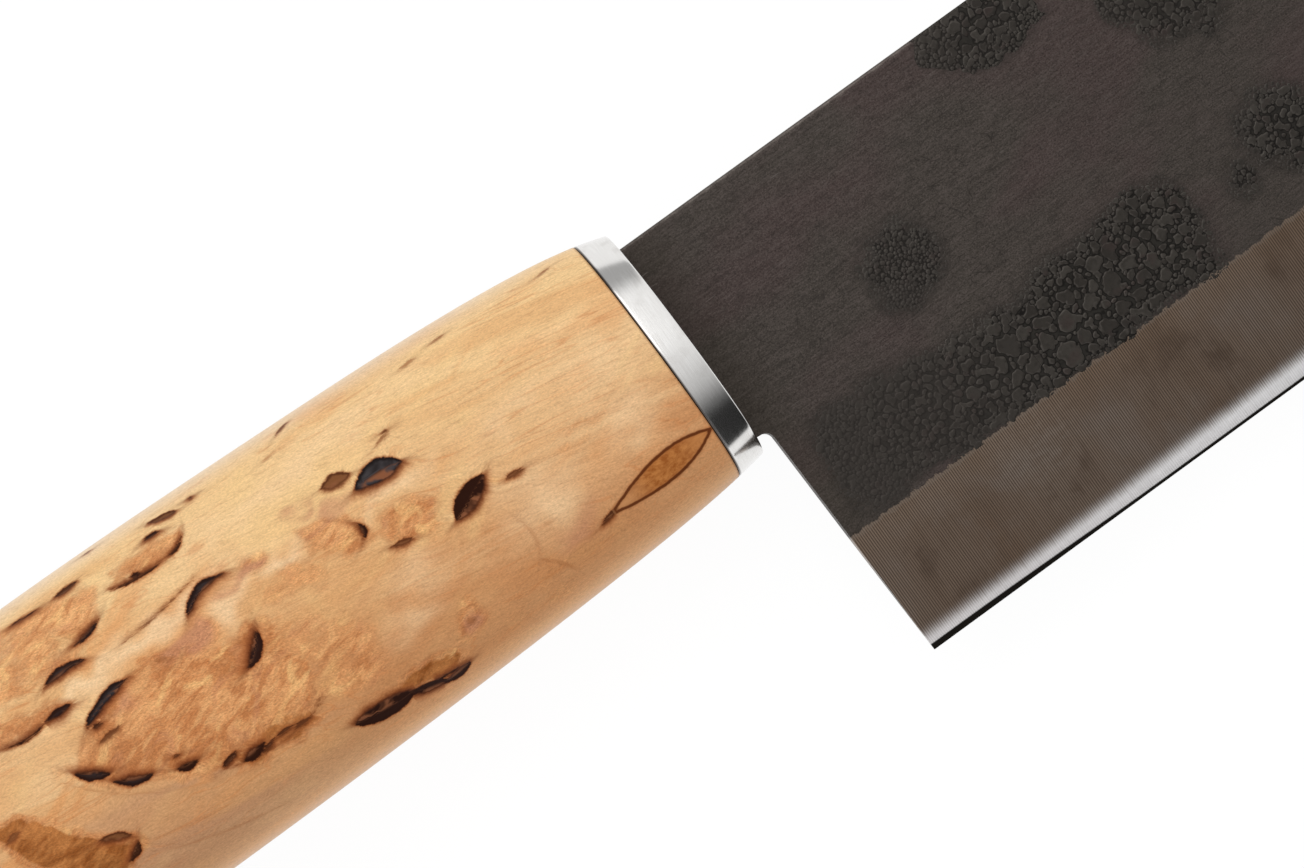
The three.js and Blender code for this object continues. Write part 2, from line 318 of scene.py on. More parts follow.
rings = blade_points()
count, around = rings.shape[:2]
side = (around + 1) // 2
j = np.arange(1, side - 1)
heel_cap = np.stack([j + 1, j, around - j, around - j - 1], -1)
tip = count * around
last = (count - 1) * around + np.arange(around)
tip_fan = np.stack([last, np.roll(last, -1), np.full(around, tip)], -1)
blade_xyz = np.concatenate([rings.reshape(-1, 3), [[BLADE_LENGTH, POINT[1], 0.0]]])
print("blade spans x", blade_xyz[:, 0].min().round(2), "to", blade_xyz[:, 0].max(), "mm")

# %% [markdown]
# ## Where forge scale is left
#
# The flats were forged, and most of the scale was rubbed off again. Islands of it are left in
# rounded patches. Each patch is a few overlapping discs, given by centre, radius and strength,
# and the depth of a point inside the nearest disc tells how far it is from the patch's rim. A
# little noise keeps the rims from being round. The patches in the picture are placed one by one;
# the rest of the right side and the whole left side get some from a seeded random choice.

# %% Patches as overlapping discs
HEEL_PATCH = np.array([
    # x, y, radius, strength, largest island
    (42.0, -17.6, 4.6, 1.0, 0.62), (43.2, -21.4, 3.0, 1.0, 0.5), (37.6, -19.0, 5.2, 1.0, 0.95),
    (33.2, -19.4, 5.4, 1.0, 0.8), (29.0, -20.0, 5.2, 1.0, 0.95), (25.2, -19.6, 4.9, 0.9, 0.95),
    (20.6, -19.4, 4.9, 0.75, 0.5), (16.0, -18.9, 5.0, 0.55, 0.37), (11.4, -18.4, 4.6, 0.5, 0.3),
    (8.0, -16.6, 3.6, 0.4, 0.28), (12.4, -15.8, 3.0, 0.42, 0.37), (7.4, -20.0, 3.2, 0.35, 0.28)])
SPOTS = np.array([
    # as the patch at the heel
    (21.5, -5.5, 3.4, 0.8, 0.24), (19.8, -7.6, 1.9, 0.55, 0.17), (40.1, 8.6, 3.7, 0.9, 0.62),
    (43.4, 7.9, 2.4, 0.9, 0.5), (36.7, 8.9, 2.2, 0.7, 0.4), (56.1, -0.2, 3.3, 0.85, 0.5),
    (58.6, -2.6, 2.0, 0.85, 0.4), (53.0, 1.9, 1.9, 0.7, 0.3), (57.8, -16.1, 3.5, 0.95, 0.62),
    (59.2, -18.6, 2.6, 0.95, 0.5), (55.9, -14.4, 1.7, 0.7, 0.3), (52.3, -18.2, 0.95, 0.9, 0.3)])


def scattered_patches(seed, count, x_low, x_high):
    """Random disc groups on the flats: each a main disc and four smaller ones at or past its rim."""
    rng = np.random.default_rng(seed)
    x = rng.uniform(x_low, x_high, count)
    room = spine_y(x) - edge_y(x) - BEVEL - 1
    y = edge_y(x) + BEVEL + 1 + room * rng.uniform(0.02, 0.95, count)
    radius = (0.9 + 4.2 * rng.random(count) ** 1.7) * np.clip(room / 26, 0.4, 1)
    largest, strong = rng.uniform(0.3, 0.95, count), rng.uniform(0.45, 0.95, count)
    discs = [np.stack([x, y, radius, strong, largest], -1)]
    for _ in range(4):
        turn = rng.uniform(0, 2 * np.pi, count)
        smaller, away = rng.uniform(0.35, 0.85, count), rng.uniform(0.7, 1.5, count)
        beside_x = x + 1.4 * away * radius * np.cos(turn)
        beside_y = y + 0.7 * away * radius * np.sin(turn)
        discs.append(np.stack([beside_x, beside_y, smaller * radius, strong, largest], -1))
    return np.concatenate(discs)


POINT_PATCHES, LEFT_PATCHES = scattered_patches(11, 11, 70, 152), scattered_patches(12, 17, 8, 152)
RIM_SEED = 21


def patch_depth(x, y, discs):
    """Radius minus distance for the disc a point is deepest in, with noise of two sizes.

    After it come that disc's strength and its largest island.
    """
    depth, strength, largest = np.full(x.shape, -9.0), np.zeros(x.shape), np.zeros(x.shape)
    for cx, cy, radius, strong, large in discs:
        inside = radius + 0.35 - np.hypot(x - cx, y - cy)
        deeper = inside > depth
        strength, largest = np.where(deeper, strong, strength), np.where(deeper, large, largest)
        depth = np.maximum(depth, inside)
    depth = depth + 1.3 * soft_noise(x, y, 1.7, RIM_SEED) + 0.7 * soft_noise(x, y, 0.6, RIM_SEED + 1)
    return depth, strength, largest


print(len(POINT_PATCHES), "discs towards the point,", len(LEFT_PATCHES), "on the left side")

# %% The blade with its values
blade_x, blade_y, blade_z = blade_xyz.T
depth_right = patch_depth(blade_x, blade_y, np.concatenate([HEEL_PATCH, SPOTS, POINT_PATCHES]))[0]
depth_left = patch_depth(blade_x, blade_y, LEFT_PATCHES)[0]
blade_faces = [ring_faces(count, around), heel_cap, np.array([[1, 0, around - 1]]), tip_fan]
blade = make_piece("blade_forging", blade_xyz, blade_faces, {
    "knife_mm": blade_xyz,
    "edge_mm": edge_distance(blade_x, blade_y),
    "spine_mm": spine_y(blade_x) - blade_y,
    "patch_mm": np.where(blade_z >= 0, depth_right, depth_left)}, sharp=25)
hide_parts("blade")

# %% [markdown]
# ## The scale islands
#
# Close up, a patch is a pavement of rounded islands with dark gaps: fine beads along the rim,
# larger and more ragged islands inside. A bump texture would look flat at the rim, so the islands
# are real relief, a few hundredths of a millimetre high, on a thin shell that dips under the flat
# where the patch ends. Seeds are packed from large to small, some neighbours are joined into one
# island, and each point belongs to the seed in whose disc it lies deepest.

# %% Seeds packed from large to small
# Radius of the seeds, and the share of the places for that radius that are tried.
SEED_SIZES = ((0.95, 0.25), (0.7, 0.35), (0.5, 0.6), (0.37, 0.9), (0.28, 1.2), (0.21, 1.6), (0.16, 2.4),
              (0.12, 3.2))
MOST_SEEDS, JOINED_SHARE, JOINED_LEAST = 16000, 0.6, 0.26


def pack_seeds(discs, seed, smallest=0.12):
    """Seeds x, y, radius, tone and island number.

    Large ones lie where a patch is deep, and ever smaller ones fill the room that is left. Some
    neighbours are joined: they share tone and number, and a bridge of a smaller radius lies between them.
    """
    rng = np.random.default_rng(seed)
    seeds, used = np.zeros((MOST_SEEDS, 5)), 0
    low, high = discs[:, :2].min(0) - 4, discs[:, :2].max(0) + 4
    for radius, share in SEED_SIZES:
        if radius < smallest:
            continue
        tries = rng.uniform(low, high, (int(np.prod(high - low) / radius**2 * share), 2))
        depth, _, largest = patch_depth(tries[:, 0], tries[:, 1], discs)
        apart = 1.02 + 0.11 * soft_step(1.0, 2.6, depth) * (largest > 0.3)
        fits = (depth > 4.8 * radius - 1.15) & (radius <= largest + 0.001)
        fits &= (radius > 0.2) | (depth < 1.8) | (largest < 0.3)
        for (x, y), spacing in zip(tries[fits], apart[fits]):
            size = radius * rng.uniform(0.85, 1.15)
            gaps = np.hypot(seeds[:used, 0] - x, seeds[:used, 1] - y) - spacing * (seeds[:used, 2] + size)
            if used == 0 or gaps.min() > 0:
                seeds[used] = x, y, size, rng.random(), used
                used += 1
    bridges = used
    for one in rng.permutation(used)[: int(JOINED_SHARE * used)]:
        away = seeds[:used, :2] - seeds[one, :2]
        reach = np.hypot(away[:, 0], away[:, 1]) - seeds[:used, 2] - seeds[one, 2]
        reach[one] = 9
        other = int(np.argmin(reach))
        if min(seeds[one, 2], seeds[other, 2]) > JOINED_LEAST:
            seeds[one, 3:] = seeds[other, 3:]
            seeds[bridges] = seeds[other]
            seeds[bridges, :2] = (seeds[one, :2] + seeds[other, :2]) / 2
            seeds[bridges, 2] = 0.8 * min(seeds[one, 2], seeds[other, 2])
            bridges += 1
    return seeds[:bridges]


ISLAND_SEED = 51


def islands(x, y, seeds, strength):
    """Distance from the nearest gap.

    That is the depth in the deepest disc, or 0.6 of the lead over the deepest disc of another island
    where that is less. Where the scale is weak the discs are larger, so they meet in thin cracks.
    """
    wx, wy = (0.65 * soft_noise(x, y, 0.8, start) + 0.38 * soft_noise(x, y, 0.33, start + 1)
              for start in (ISLAND_SEED, ISLAND_SEED + 2))
    best, second = np.full((2, *x.shape), -9.0)
    tone, island = np.zeros(x.shape), np.full(x.shape, -1.0)
    for sx, sy, size, shade, number in seeds:
        near = np.flatnonzero((np.abs(x - sx) < 1.3 * size + 0.5) & (np.abs(y - sy) < 1.3 * size + 0.5))
        share = min(1.0, size / 0.45)
        away = np.hypot(x[near] + share * wx[near] - sx, y[near] + share * wy[near] - sy)
        inside = (1.24 - 0.14 * strength[near]) * size + 0.02 - away
        nearer, other = inside > best[near], island[near] != number
        runner_up = np.where(nearer, best[near], np.maximum(second[near], inside))
        second[near] = np.where(other, runner_up, second[near])
        taken = near[nearer]
        best[taken], tone[taken], island[taken] = inside[nearer], shade, number
    worn_rim = 0.03 * (0.5 + soft_noise(x, y, 1.1, ISLAND_SEED + 6))
    return np.minimum(best, (best - second) * 0.6) - worn_rim, tone


heel_seeds, spot_seeds = pack_seeds(HEEL_PATCH, 31), pack_seeds(SPOTS, 34)
print(len(heel_seeds), "seeds in the patch at the heel,", len(spot_seeds), "in the spots")


# %% Shells of scale
SHELL_METRES = 0.00015
FLOOR, ISLAND, CROWN_DIP, RIM_DIP, BURIED = 0.002, 0.036, 0.01, 0.022, 0.06


def scale_shell(name, discs, seeds, facing, step, x_low, x_high):
    """Grid over the flats, kept where the patches are.

    Its height is the floor of the gaps, plus the island, less the dips in the middle of large islands
    and at the patch's rim, where the shell is buried in the blade.
    """
    across_x = np.arange(x_low, x_high, step)
    across_y = np.arange(EDGE_Y + BEVEL - 0.6, SPINE_Y, step)
    x, y = (part.ravel() for part in np.meshgrid(across_x, across_y, indexing="ij"))
    depth, strength, _ = patch_depth(x, y, discs)
    cut = edge_distance(x, y) - BEVEL + 0.02
    cut = cut - 0.4 * soft_noise(x, y, 0.5, 41) - 0.5 * soft_noise(x, y, 1.4, 42)
    depth = np.minimum(depth, np.minimum(5.0 * cut, 2.0 * (spine_y(x) - 0.3 - y)))
    grid = np.arange(x.size).reshape(len(across_x), len(across_y))
    quads = np.stack([grid[:-1, :-1], grid[1:, :-1], grid[1:, 1:], grid[:-1, 1:]], -1).reshape(-1, 4)
    quads = quads[(depth[quads] > -0.6).all(1)]
    keep, place = np.unique(quads), np.full(x.shape, -1)
    place[keep] = np.arange(keep.size)
    quads, x, y, depth, strength = place[quads], x[keep], y[keep], depth[keep], strength[keep]
    gap, tone = islands(x, y, seeds, strength)
    raised = ISLAND * soft_step(-0.02, 0.13, gap) * (0.4 + 0.6 * strength)
    height = FLOOR - RIM_DIP * soft_step(0.9, -0.1, depth) + raised
    height -= CROWN_DIP * soft_step(0.25, 0.8, gap) + BURIED * soft_step(-0.25, -0.6, depth)
    points = np.stack([x, y, facing * (flat_half(x, y) + height)], -1)
    shell = make_piece(name, points, [quads if facing > 0 else quads[:, ::-1]], {
        "knife_mm": points, "island_mm": gap, "tone": tone, "strength": strength}, sharp=80)
    solid = shell.modifiers.new("thickness", "SOLIDIFY")
    solid.thickness, solid.offset = SHELL_METRES, -1
    return shell


point_seeds, left_seeds = pack_seeds(POINT_PATCHES, 32, 0.3), pack_seeds(LEFT_PATCHES, 33, 0.3)
scale_shells = [
    scale_shell("forge_scale_heel", HEEL_PATCH, heel_seeds, 1, 0.08, 2.6, 26.24),
    scale_shell("forge_scale_middle", HEEL_PATCH, heel_seeds, 1, 0.08, 26.2, 50.0),
    scale_shell("forge_scale_spots", SPOTS, spot_seeds, 1, 0.08, 14.0, 64.0),
    scale_shell("forge_scale_point", POINT_PATCHES, point_seeds, 1, 0.22, 62.0, 166.0),
    scale_shell("forge_scale_left", LEFT_PATCHES, left_seeds, -1, 0.24, 2.6, 166.0)]

# %% [markdown]
# ## The oval of bolster and grip
#
# Bolster and grip share one outline: an oval that is a little pointed towards the spine and
# fuller towards the edge, growing quickly behind the bolster and then slowly to the belly. A
# superellipse gives such ovals with one number for the fullness of each half.

# %% Oval sections behind the bolster's front face
# Above the axis, below it, and to the side.
FRONT_HALF, FLARE, SWELL = (12.65, 12.65, 10), (1.5, 0.8, 0.6), (3.3, 1.6, 1.5)
FLARE_LENGTH, BELLY, HOLLOW, HOLLOW_AT, HOLLOW_LENGTH = 6, 65.0, 0.2, 40, 18
SPINE_POWER, EDGE_POWER, WIDEST, INSIDE = 1.95, 2.4, -0.24, 0.03


def grip_half(back):
    """Heights above and below the axis, and half width.

    Each is the front's, plus a quick flare, plus a slow parabola to the belly. The top is a touch hollow.
    """
    flare, swell = 1 - np.exp(-back / FLARE_LENGTH), 1 - (1 - back / BELLY) ** 2
    top, bottom, side = (a + b * flare + c * swell for a, b, c in zip(FRONT_HALF, FLARE, SWELL))
    return top - HOLLOW * np.exp(-(((back - HOLLOW_AT) / HOLLOW_LENGTH) ** 2)), bottom, side


def oval(back, turn, share=1.0):
    """y and z of a superellipse at each distance back and turn.

    Its power is one number above the widest line and another below it.
    """
    top, bottom, side = grip_half(back)
    widest = WIDEST * bottom
    s, c = np.sin(turn), np.cos(turn)
    power = np.where(s > 0, 2 / SPINE_POWER, 2 / EDGE_POWER)
    reach = np.where(s > 0, top - widest, bottom + widest)
    y = widest + reach * np.sign(s) * np.abs(s) ** power
    return share * y, share * (side - INSIDE) * np.sign(c) * np.abs(c) ** power


print("grip at the belly, top, bottom, half width:", [round(float(v), 2) for v in grip_half(BELLY)])

# %% [markdown]
# ## The bolster
#
# The bolster is a narrow band of steel between wood and blade, filed flush with the grip, with
# its sharp rims just broken. A bevel on the solid would leave uneven faces along the oval, so a
# profile of the band is carried round it: out from the middle of the back face, over the eased
# rims, and in again on the front face.

# %% Bolster band
BAND, RIM, FACE_INSETS = 3.1, 0.14, [12, 8, 4, 1.6, 0.6]
rim_turn = np.radians(np.linspace(0, 90, 6))
rim_back, rim_inset = RIM * (1 - np.cos(rim_turn)), RIM * (1 - np.sin(rim_turn))
band_rows = np.linspace(BAND - RIM, RIM, 12)[1:-1]
band_back = np.concatenate([[BAND] * 5, BAND - rim_back, band_rows, rim_back[::-1], [0.0] * 5])
inset = np.concatenate([FACE_INSETS, rim_inset, 0 * band_rows, rim_inset[::-1], FACE_INSETS[::-1]])
around_band = np.linspace(0, 2 * np.pi, 320, endpoint=False)
band_grid, turn_grid = np.meshgrid(band_back, around_band, indexing="ij")
band_y, band_z = oval(band_grid, turn_grid)
length_out = np.hypot(band_y, band_z)
scale_in = np.clip(1 - inset[:, None] / length_out, 0.02, 1)
bolster_points = np.stack([-band_grid, band_y * scale_in, band_z * scale_in], -1).reshape(-1, 3)
girth = np.cumsum(np.hypot(*np.diff(np.stack([band_y, band_z]), axis=2, prepend=0)), 1)
rows, around_count = band_grid.shape
ring = np.arange(around_count)
bolster_faces = [ring_faces(rows, around_count)[:, ::-1][:, [1, 2, 3, 0]], ring[None, :],
                 ((rows - 1) * around_count + ring)[None, ::-1]]
bolster = make_piece("bolster_band", bolster_points, bolster_faces, {
    "knife_mm": bolster_points, "girth_mm": girth.ravel()}, sharp=40)
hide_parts("bolster")

# %% [markdown]
# ## Flecks and clouds in the birch
#
# Curly birch of this kind has dark flecks where the tree was hurt and grew over the spot, with
# amber clouds round them. They lie on the surface of the grip, so they are placed by the distance
# along the grip and the length along the oval from its widest line on the right side. A fleck is
# a curved lens: two ends, a width, a bend to one side and how dark it is. Outline is 1
# where a fleck has only a dark outline round brown wood. Slate tells how blue-grey its inside is,
# and how much painted sheen it carries.

# %% Flecks of the picture, and more for the rest of the grip
FLECKS_SEEN = np.array([
    # from x, g, to x, g, width, bend, ink, outline, slate
    (-52.4, 10.2, -47.4, 11.6, 0.95, 0.75, 0.95, 0, 0.5), (-50.8, 2.8, -47.9, 5.5, 1.15, -0.45, 1, 0, 0.1),
    (-65.7, 7.2, -60, 8.8, 1.05, 0.45, 0.9, 0, 0.7), (-62.5, 14.4, -59.2, 15.3, 0.75, -0.2, 0.85, 0, 0.5),
    (-66.9, 12.8, -62.3, 12.7, 0.85, 0.4, 0.8, 0, 0.5), (-68.7, 9.9, -65.7, 9.9, 0.8, 0.1, 0.95, 0, 0.2),
    (-73.3, 10.3, -68.5, 9.9, 0.4, -0.4, 0.8, 0, 0), (-69, 4.4, -66.1, 2.5, 0.85, -0.25, 0.95, 0, 0.3),
    (-66.6, 1.8, -63.1, 0.2, 1.05, -0.3, 0.95, 0, 0.3), (-61.3, -0.7, -59.1, -1.2, 0.7, -0.15, 0.9, 0, 0),
    (-57.8, -3.1, -55.8, -2.6, 0.6, 0, 0.75, 0, 0), (-55.9, -3.8, -53.2, -3.4, 0.95, -0.1, 0.82, 0, 0),
    (-54, -4.2, -52.3, -3.7, 0.5, 0, 0.65, 0, 0), (-52.4, -3.8, -50.2, -3.8, 0.45, 0.1, 0.62, 0, 0),
    (-50.6, -4.1, -48.4, -4.1, 0.42, 0.05, 0.55, 0, 0), (-47.8, -3.5, -46.5, -3, 0.3, 0, 0.35, 0, 0),
    (-57.8, -3.3, -46.5, -3.4, 0.16, -1.1, 0.38, 0, 0), (-58.7, 11.8, -49.9, 13, 0.2, -0.25, 0.4, 0, 0),
    (-56.8, 17.1, -51, 16.4, 0.42, -0.3, 0.75, 0, 0), (-51.2, 16.4, -48.5, 17.6, 0.42, -0.4, 0.75, 0, 0),
    (-54.7, 17, -53.6, 16.8, 0.55, 0, 0.9, 0, 0), (-51.8, 19.8, -50, 19.6, 0.6, 0.1, 0.9, 0, 0),
    (-50.6, 21.5, -47.6, 20.6, 0.85, 0, 0.65, 0, 0), (-66.6, 20.9, -63.3, 20.6, 0.45, 0, 0.9, 0, 0),
    (-61.8, 20.5, -59, 20.6, 0.6, 0, 0.7, 0, 0), (-46.3, 21.1, -45.7, 21, 0.4, 0, 0.8, 0, 0),
    (-57.3, 24, -56.2, 23.9, 0.36, 0, 0.5, 0, 0), (-70.9, -1.9, -67.9, -3.4, 0.75, 0.25, 0.6, 0, 0),
    (-69.8, -5.2, -67.8, -4, 0.65, -0.2, 0.75, 0, 0), (-77.8, 2.8, -76, 3.1, 0.57, 0, 0.4, 0, 0),
    (-65.6, 5.4, -63, 5.5, 0.42, 0, 0.45, 0, 0), (-35.7, 12.7, -32.6, 12.2, 1.3, 0.1, 0.6, 0, 0),
    (-34.9, 8, -35.1, 6.2, 0.62, 0.35, 0.85, 0, 0), (-33.3, 10.6, -28.1, 10.2, 2.3, 0.4, 1, 0, 1),
    (-27.4, 2.6, -22.7, 4.6, 2.2, 0, 0.9, 0, 0), (-21.4, 3, -19.4, 2.8, 0.5, 0, 0.5, 0, 0),
    (-16, -5.6, -3, -4.7, 3, 0, 0.9, 1, 0), (-33.7, 4.2, -31.4, 3.6, 0.7, 0, 0.55, 0, 0),
    (-45.8, -7.4, -39.2, -8.3, 2.2, -0.3, 0.95, 0, 0), (-40.4, -8.3, -36.2, -10, 1.1, 0.1, 0.9, 0, 0),
    (-37, -10, -33.8, -9.7, 1.05, -0.2, 0.95, 0, 0), (-28.3, 13.7, -27.4, 13.6, 0.36, 0, 0.5, 0, 0),
    (-22.5, -0.9, -23.1, -4.9, 0.34, 0.5, 0.16, 0, 0), (-23.1, -4.9, -20.9, -8.2, 0.34, 0.3, 0.16, 0, 0),
    (-7.9, 18.5, -6.2, 18.8, 0.36, 0, 0.35, 0, 0), (-19.8, 19.2, -17.9, 19.2, 0.36, 0, 0.35, 0, 0),
    (-23.5, 18.6, -21.4, 18.8, 0.36, 0, 0.3, 0, 0), (-36.3, 21.3, -34.5, 22.3, 0.4, 0.1, 0.45, 0, 0),
    (-38.7, 19.1, -37, 19.4, 0.34, 0, 0.25, 0, 0), (-29.4, 13, -27.2, 13.6, 0.34, 0, 0.35, 0, 0),
    (-65.4, 6.8, -64.1, 6.8, 0.4, 0, 0.7, 0, 0), (-60.9, 0.4, -60.1, 0.2, 0.45, 0, 0.6, 0, 0),
    (-16.8, -5.9, -14.5, -5.4, 0.6, 0, 0.62, 0, 0),
    (-70.2, 4.2, -63.5, -1.6, 0.16, -0.5, 0.16, 0, 0), (-63.5, -1.6, -54, -5.6, 0.14, -0.2, 0.12, 0, 0),
    (-45.9, -7.2, -33.9, -9.5, 0.45, -0.15, 0.85, 0, 0), (-66.2, -6.4, -55.0, -10.4, 0.2, -0.3, 0.2, 0, 0)])
ZONES_SEEN = [
    # strength, softness and outline x, g
    (1.0, 1.1, [
        (-69.4, 4.4), (-66.9, 1.3), (-63.4, -0.4), (-59.6, -2.2), (-56.5, -4.1), (-52.1, -5.1),
        (-48.5, -3.6), (-46.0, 0.5), (-46.4, 5.5), (-49.3, 6.0), (-52.8, 6.5), (-55.5, 8.3),
        (-58.4, 9.1), (-61.8, 8.6), (-65.0, 7.5), (-67.2, 6.0)]),
    (0.62, 2.0, [
        (-52.0, -3.0), (-46.9, -3.6), (-42.0, -4.6), (-39.5, -3.6), (-39.0, -0.9), (-40.5, 2.2),
        (-44.7, 5.0), (-50.0, 5.0)]),
    (0.76, 1.4, [
        (-66.6, 20.9), (-61.9, 20.6), (-58.7, 19.6), (-57.8, 16.9), (-59.4, 15.0), (-62.2, 14.0),
        (-62.3, 12.4), (-65.1, 12.6), (-68.4, 12.7), (-73.5, 13.5), (-76.0, 18.0), (-72.0, 21.0)]),
    (0.72, 0.5, [
        (-56.8, 17.1), (-54.1, 16.5), (-51.3, 16.3), (-48.6, 17.3), (-48.5, 18.7), (-50.3, 19.4),
        (-52.8, 18.9), (-55.7, 18.6)]),
    (0.9, 0.4, [
        (-76.0, 10.6), (-72.7, 10.2), (-68.9, 9.6), (-65.7, 9.7), (-66.4, 10.9), (-70.1, 11.8),
        (-75.0, 12.4)]),
    (2.1, 1.4, [
        (-79.0, 5.0), (-75.7, 3.6), (-73.3, 1.0), (-71.2, -1.8), (-69.6, -2.0), (-67.8, -3.4),
        (-68.1, -4.8), (-70.0, -6.0), (-74.5, -5.5), (-76.0, -1.5), (-77.5, 2.0)]),
    (0.9, 1.1, [
        (-40.2, 10.8), (-36.3, 10.0), (-34.6, 8.4), (-35.0, 6.0), (-36.6, 6.0), (-40.0, 8.6)]),
    (0.85, 0.9, [
        (-33.4, 7.1), (-30.6, 6.8), (-28.1, 6.2), (-27.8, 4.7), (-29.3, 3.5), (-32.2, 3.3),
        (-34.0, 4.2), (-34.0, 5.7)]),
    (0.5, 0.6, [
        (-45.4, 8.7), (-42.0, 8.7), (-39.4, 7.5), (-39.7, 5.1), (-42.7, 5.4), (-45.6, 6.7)]),
    (1.42, 0.8, [
        (-42.4, -7.3), (-38.5, -6.2), (-35.5, -6.5), (-34.1, -8.8), (-36.5, -9.9), (-39.9, -8.4)]),
    (1.3, 0.5, [
        (-57.5, -2.2), (-53.0, -2.6), (-48.5, -3.2), (-48.2, -4.4), (-52.0, -5.0), (-56.0, -4.2)]),
    (1.25, 0.5, [
        (-58.3, 9.2), (-56.2, 9.0), (-54.5, 7.2), (-55.6, 7.0), (-57.3, 7.8)]),
    (1.2, 0.7, [
        (-50.8, 6.2), (-48.6, 6.0), (-48.8, 4.4), (-50.8, 3.9), (-52.1, 3.9)])]
CLOUDS_SEEN = np.array([
    # x, g, half length, half width, strength
    (-31.6, -5.3, 2.6, 1.6, 1.25), (-16.4, -5.9, 1.8, 0.8, 0.6), (-12.4, 3.2, 4.5, 1.1, 0.4),
    (-22.6, -7.0, 3.4, 1.6, 0.5), (-20.4, 2.8, 1.6, 1.0, 0.7), (-45.6, 10.2, 2.6, 1.3, 0.7),
    (-27.0, 4.5, 4.5, 2.0, 0.4), (-53.0, 7.6, 2.2, 1.5, 0.9), (-57.5, 8.7, 1.6, 0.7, 0.9),
    (-25.0, -8.5, 6.0, 2.4, 0.45), (-70.4, 4.9, 2.0, 1.0, 0.5)])
PALE_SEEN = np.array([
    # as the clouds
    (-19.2, -0.6, 4.0, 2.8, 0.8), (-42.8, 9.4, 2.6, 1.0, 1.0), (-57.5, 10.9, 9.0, 1.2, 1.0),
    (-48.8, 8.8, 2.6, 1.1, 1.0), (-36.0, 16.5, 14.0, 2.0, 0.6), (-63.0, 10.6, 5.0, 1.0, 1.0),
    (-8.0, 6.0, 6.0, 4.0, 0.4), (-30.0, 8.3, 3.5, 0.9, 0.8), (-8.8, 0.4, 3.0, 2.0, 0.7),
    (-18.3, 8.1, 3.4, 1.6, 0.5), (-33.2, 1.0, 3.4, 1.8, 0.5), (-36.6, -2.0, 2.4, 1.3, 0.6)])
MAUVE_SEEN = np.array([
    # as the clouds
    (-53.6, 8.2, 2.2, 1.6, 1.0), (-46.2, 9.9, 2.8, 0.7, 0.9), (-35.5, 11.0, 2.5, 1.0, 0.6),
    (-62.0, 6.6, 2.6, 1.2, 0.6), (-33.0, 5.5, 1.6, 0.8, 0.5), (-37.4, 12.2, 3.0, 0.7, 0.6),
    (-17.4, -5.0, 3.4, 2.4, 0.6), (-31.4, -5.5, 2.2, 1.3, 0.85)])


def scattered_flecks(seed, count, x_low, x_high, g_low, g_high):
    """Random lenses that lean a little from the grain, and a cloud round every second one."""
    rng = np.random.default_rng(seed)
    x, g = rng.uniform(x_low, x_high, count), rng.uniform(g_low, g_high, count)
    lean_by, length = rng.normal(-0.12, 0.3, count), rng.uniform(1.2, 5.4, count)
    dx, dg = length / 2 * np.cos(lean_by), length / 2 * np.sin(lean_by)
    width, bend = rng.uniform(0.4, 0.26 * length + 0.45), rng.normal(0, 0.08, count) * length
    ink, outline, slate = rng.uniform(0.5, 1.0, count), np.zeros(count), np.full(count, 0.3)
    clouds = np.stack([x, g, length * 1.6 + 1, length * 0.6 + 0.7, rng.uniform(0.5, 1, count)], -1)[::2]
    return np.stack([x - dx, g - dg, x + dx, g + dg, width, bend, ink, outline, slate], -1), clouds


scattered = [scattered_flecks(*rest) for rest in (
    # seed, count, range of x, range of g: the butt, the left side above and the left side below
    (61, 24, -112, -81, -17, 24), (62, 26, -110, -12, 29, 41), (63, 24, -110, -12, -37, -22))]
flecks = np.concatenate([FLECKS_SEEN, *(part[0] for part in scattered)])
clouds = np.concatenate([CLOUDS_SEEN, *(part[1] for part in scattered)])
print(len(flecks), "flecks and", len(clouds), "clouds")

# %% [markdown]
# ## The grip's surface
#
# The grip is a loft: ovals at stations from the bolster back to the belly, closing in a rounded
# butt. The grid is finest on the right side, where the flecks are seen closely, and coarser on
# the other side. The grain is kept as a place inside a block of wood, because a grip is cut from a
# block, but it is bent aside next to each fleck, as the fibres are in the tree.

# %% Stations and turns of the grip
FRONT, DOME_START, DOME = BAND + 0.05, 112.1, 13.0
FINE_END, BUTT_SHARE, BUTT_ROWS, DOME_POWER = 80, 0.35, 7, 0.8
dense = np.linspace(-np.pi, np.pi, 4001)
ring_y, ring_z = oval(BELLY, dense)
ring_length = np.concatenate([[0], np.cumsum(np.hypot(np.diff(ring_y), np.diff(ring_z)))])
quarter = np.interp([-np.pi / 2, np.pi / 2], dense, ring_length)
ring_places = np.concatenate([
    np.linspace(0, quarter[0], 18, endpoint=False),
    np.linspace(*quarter, 196, endpoint=False),
    np.linspace(quarter[1], ring_length[-1], 22, endpoint=False)])
turns = np.interp(ring_places, ring_length, dense)
full_turn = math.acos(BUTT_SHARE ** (1 / DOME_POWER))
dome_turn = np.linspace(0, full_turn, 22)[1:]
body_back = np.concatenate([np.arange(FRONT, FINE_END, 0.25), np.linspace(FINE_END, DOME_START, 46)[1:]])
dome_back = DOME_START + DOME * (np.sin(dome_turn) / math.sin(full_turn)) ** DOME_POWER
butt_share = np.linspace(BUTT_SHARE, 0, BUTT_ROWS + 2)[1:-1]
backs = np.concatenate([body_back, dome_back, np.full(BUTT_ROWS, DOME_START + DOME)])
shares = np.concatenate([np.ones(len(body_back)), np.cos(dome_turn) ** DOME_POWER, butt_share])
print(len(backs), "stations,", len(turns), "turns")


# %% Distance to flecks, clouds and bent grain
ROUGH, TAIL_LENGTH, TAIL_WIDTH, PUSH_REACH = 0.25, 2.2, 0.24, 1.8


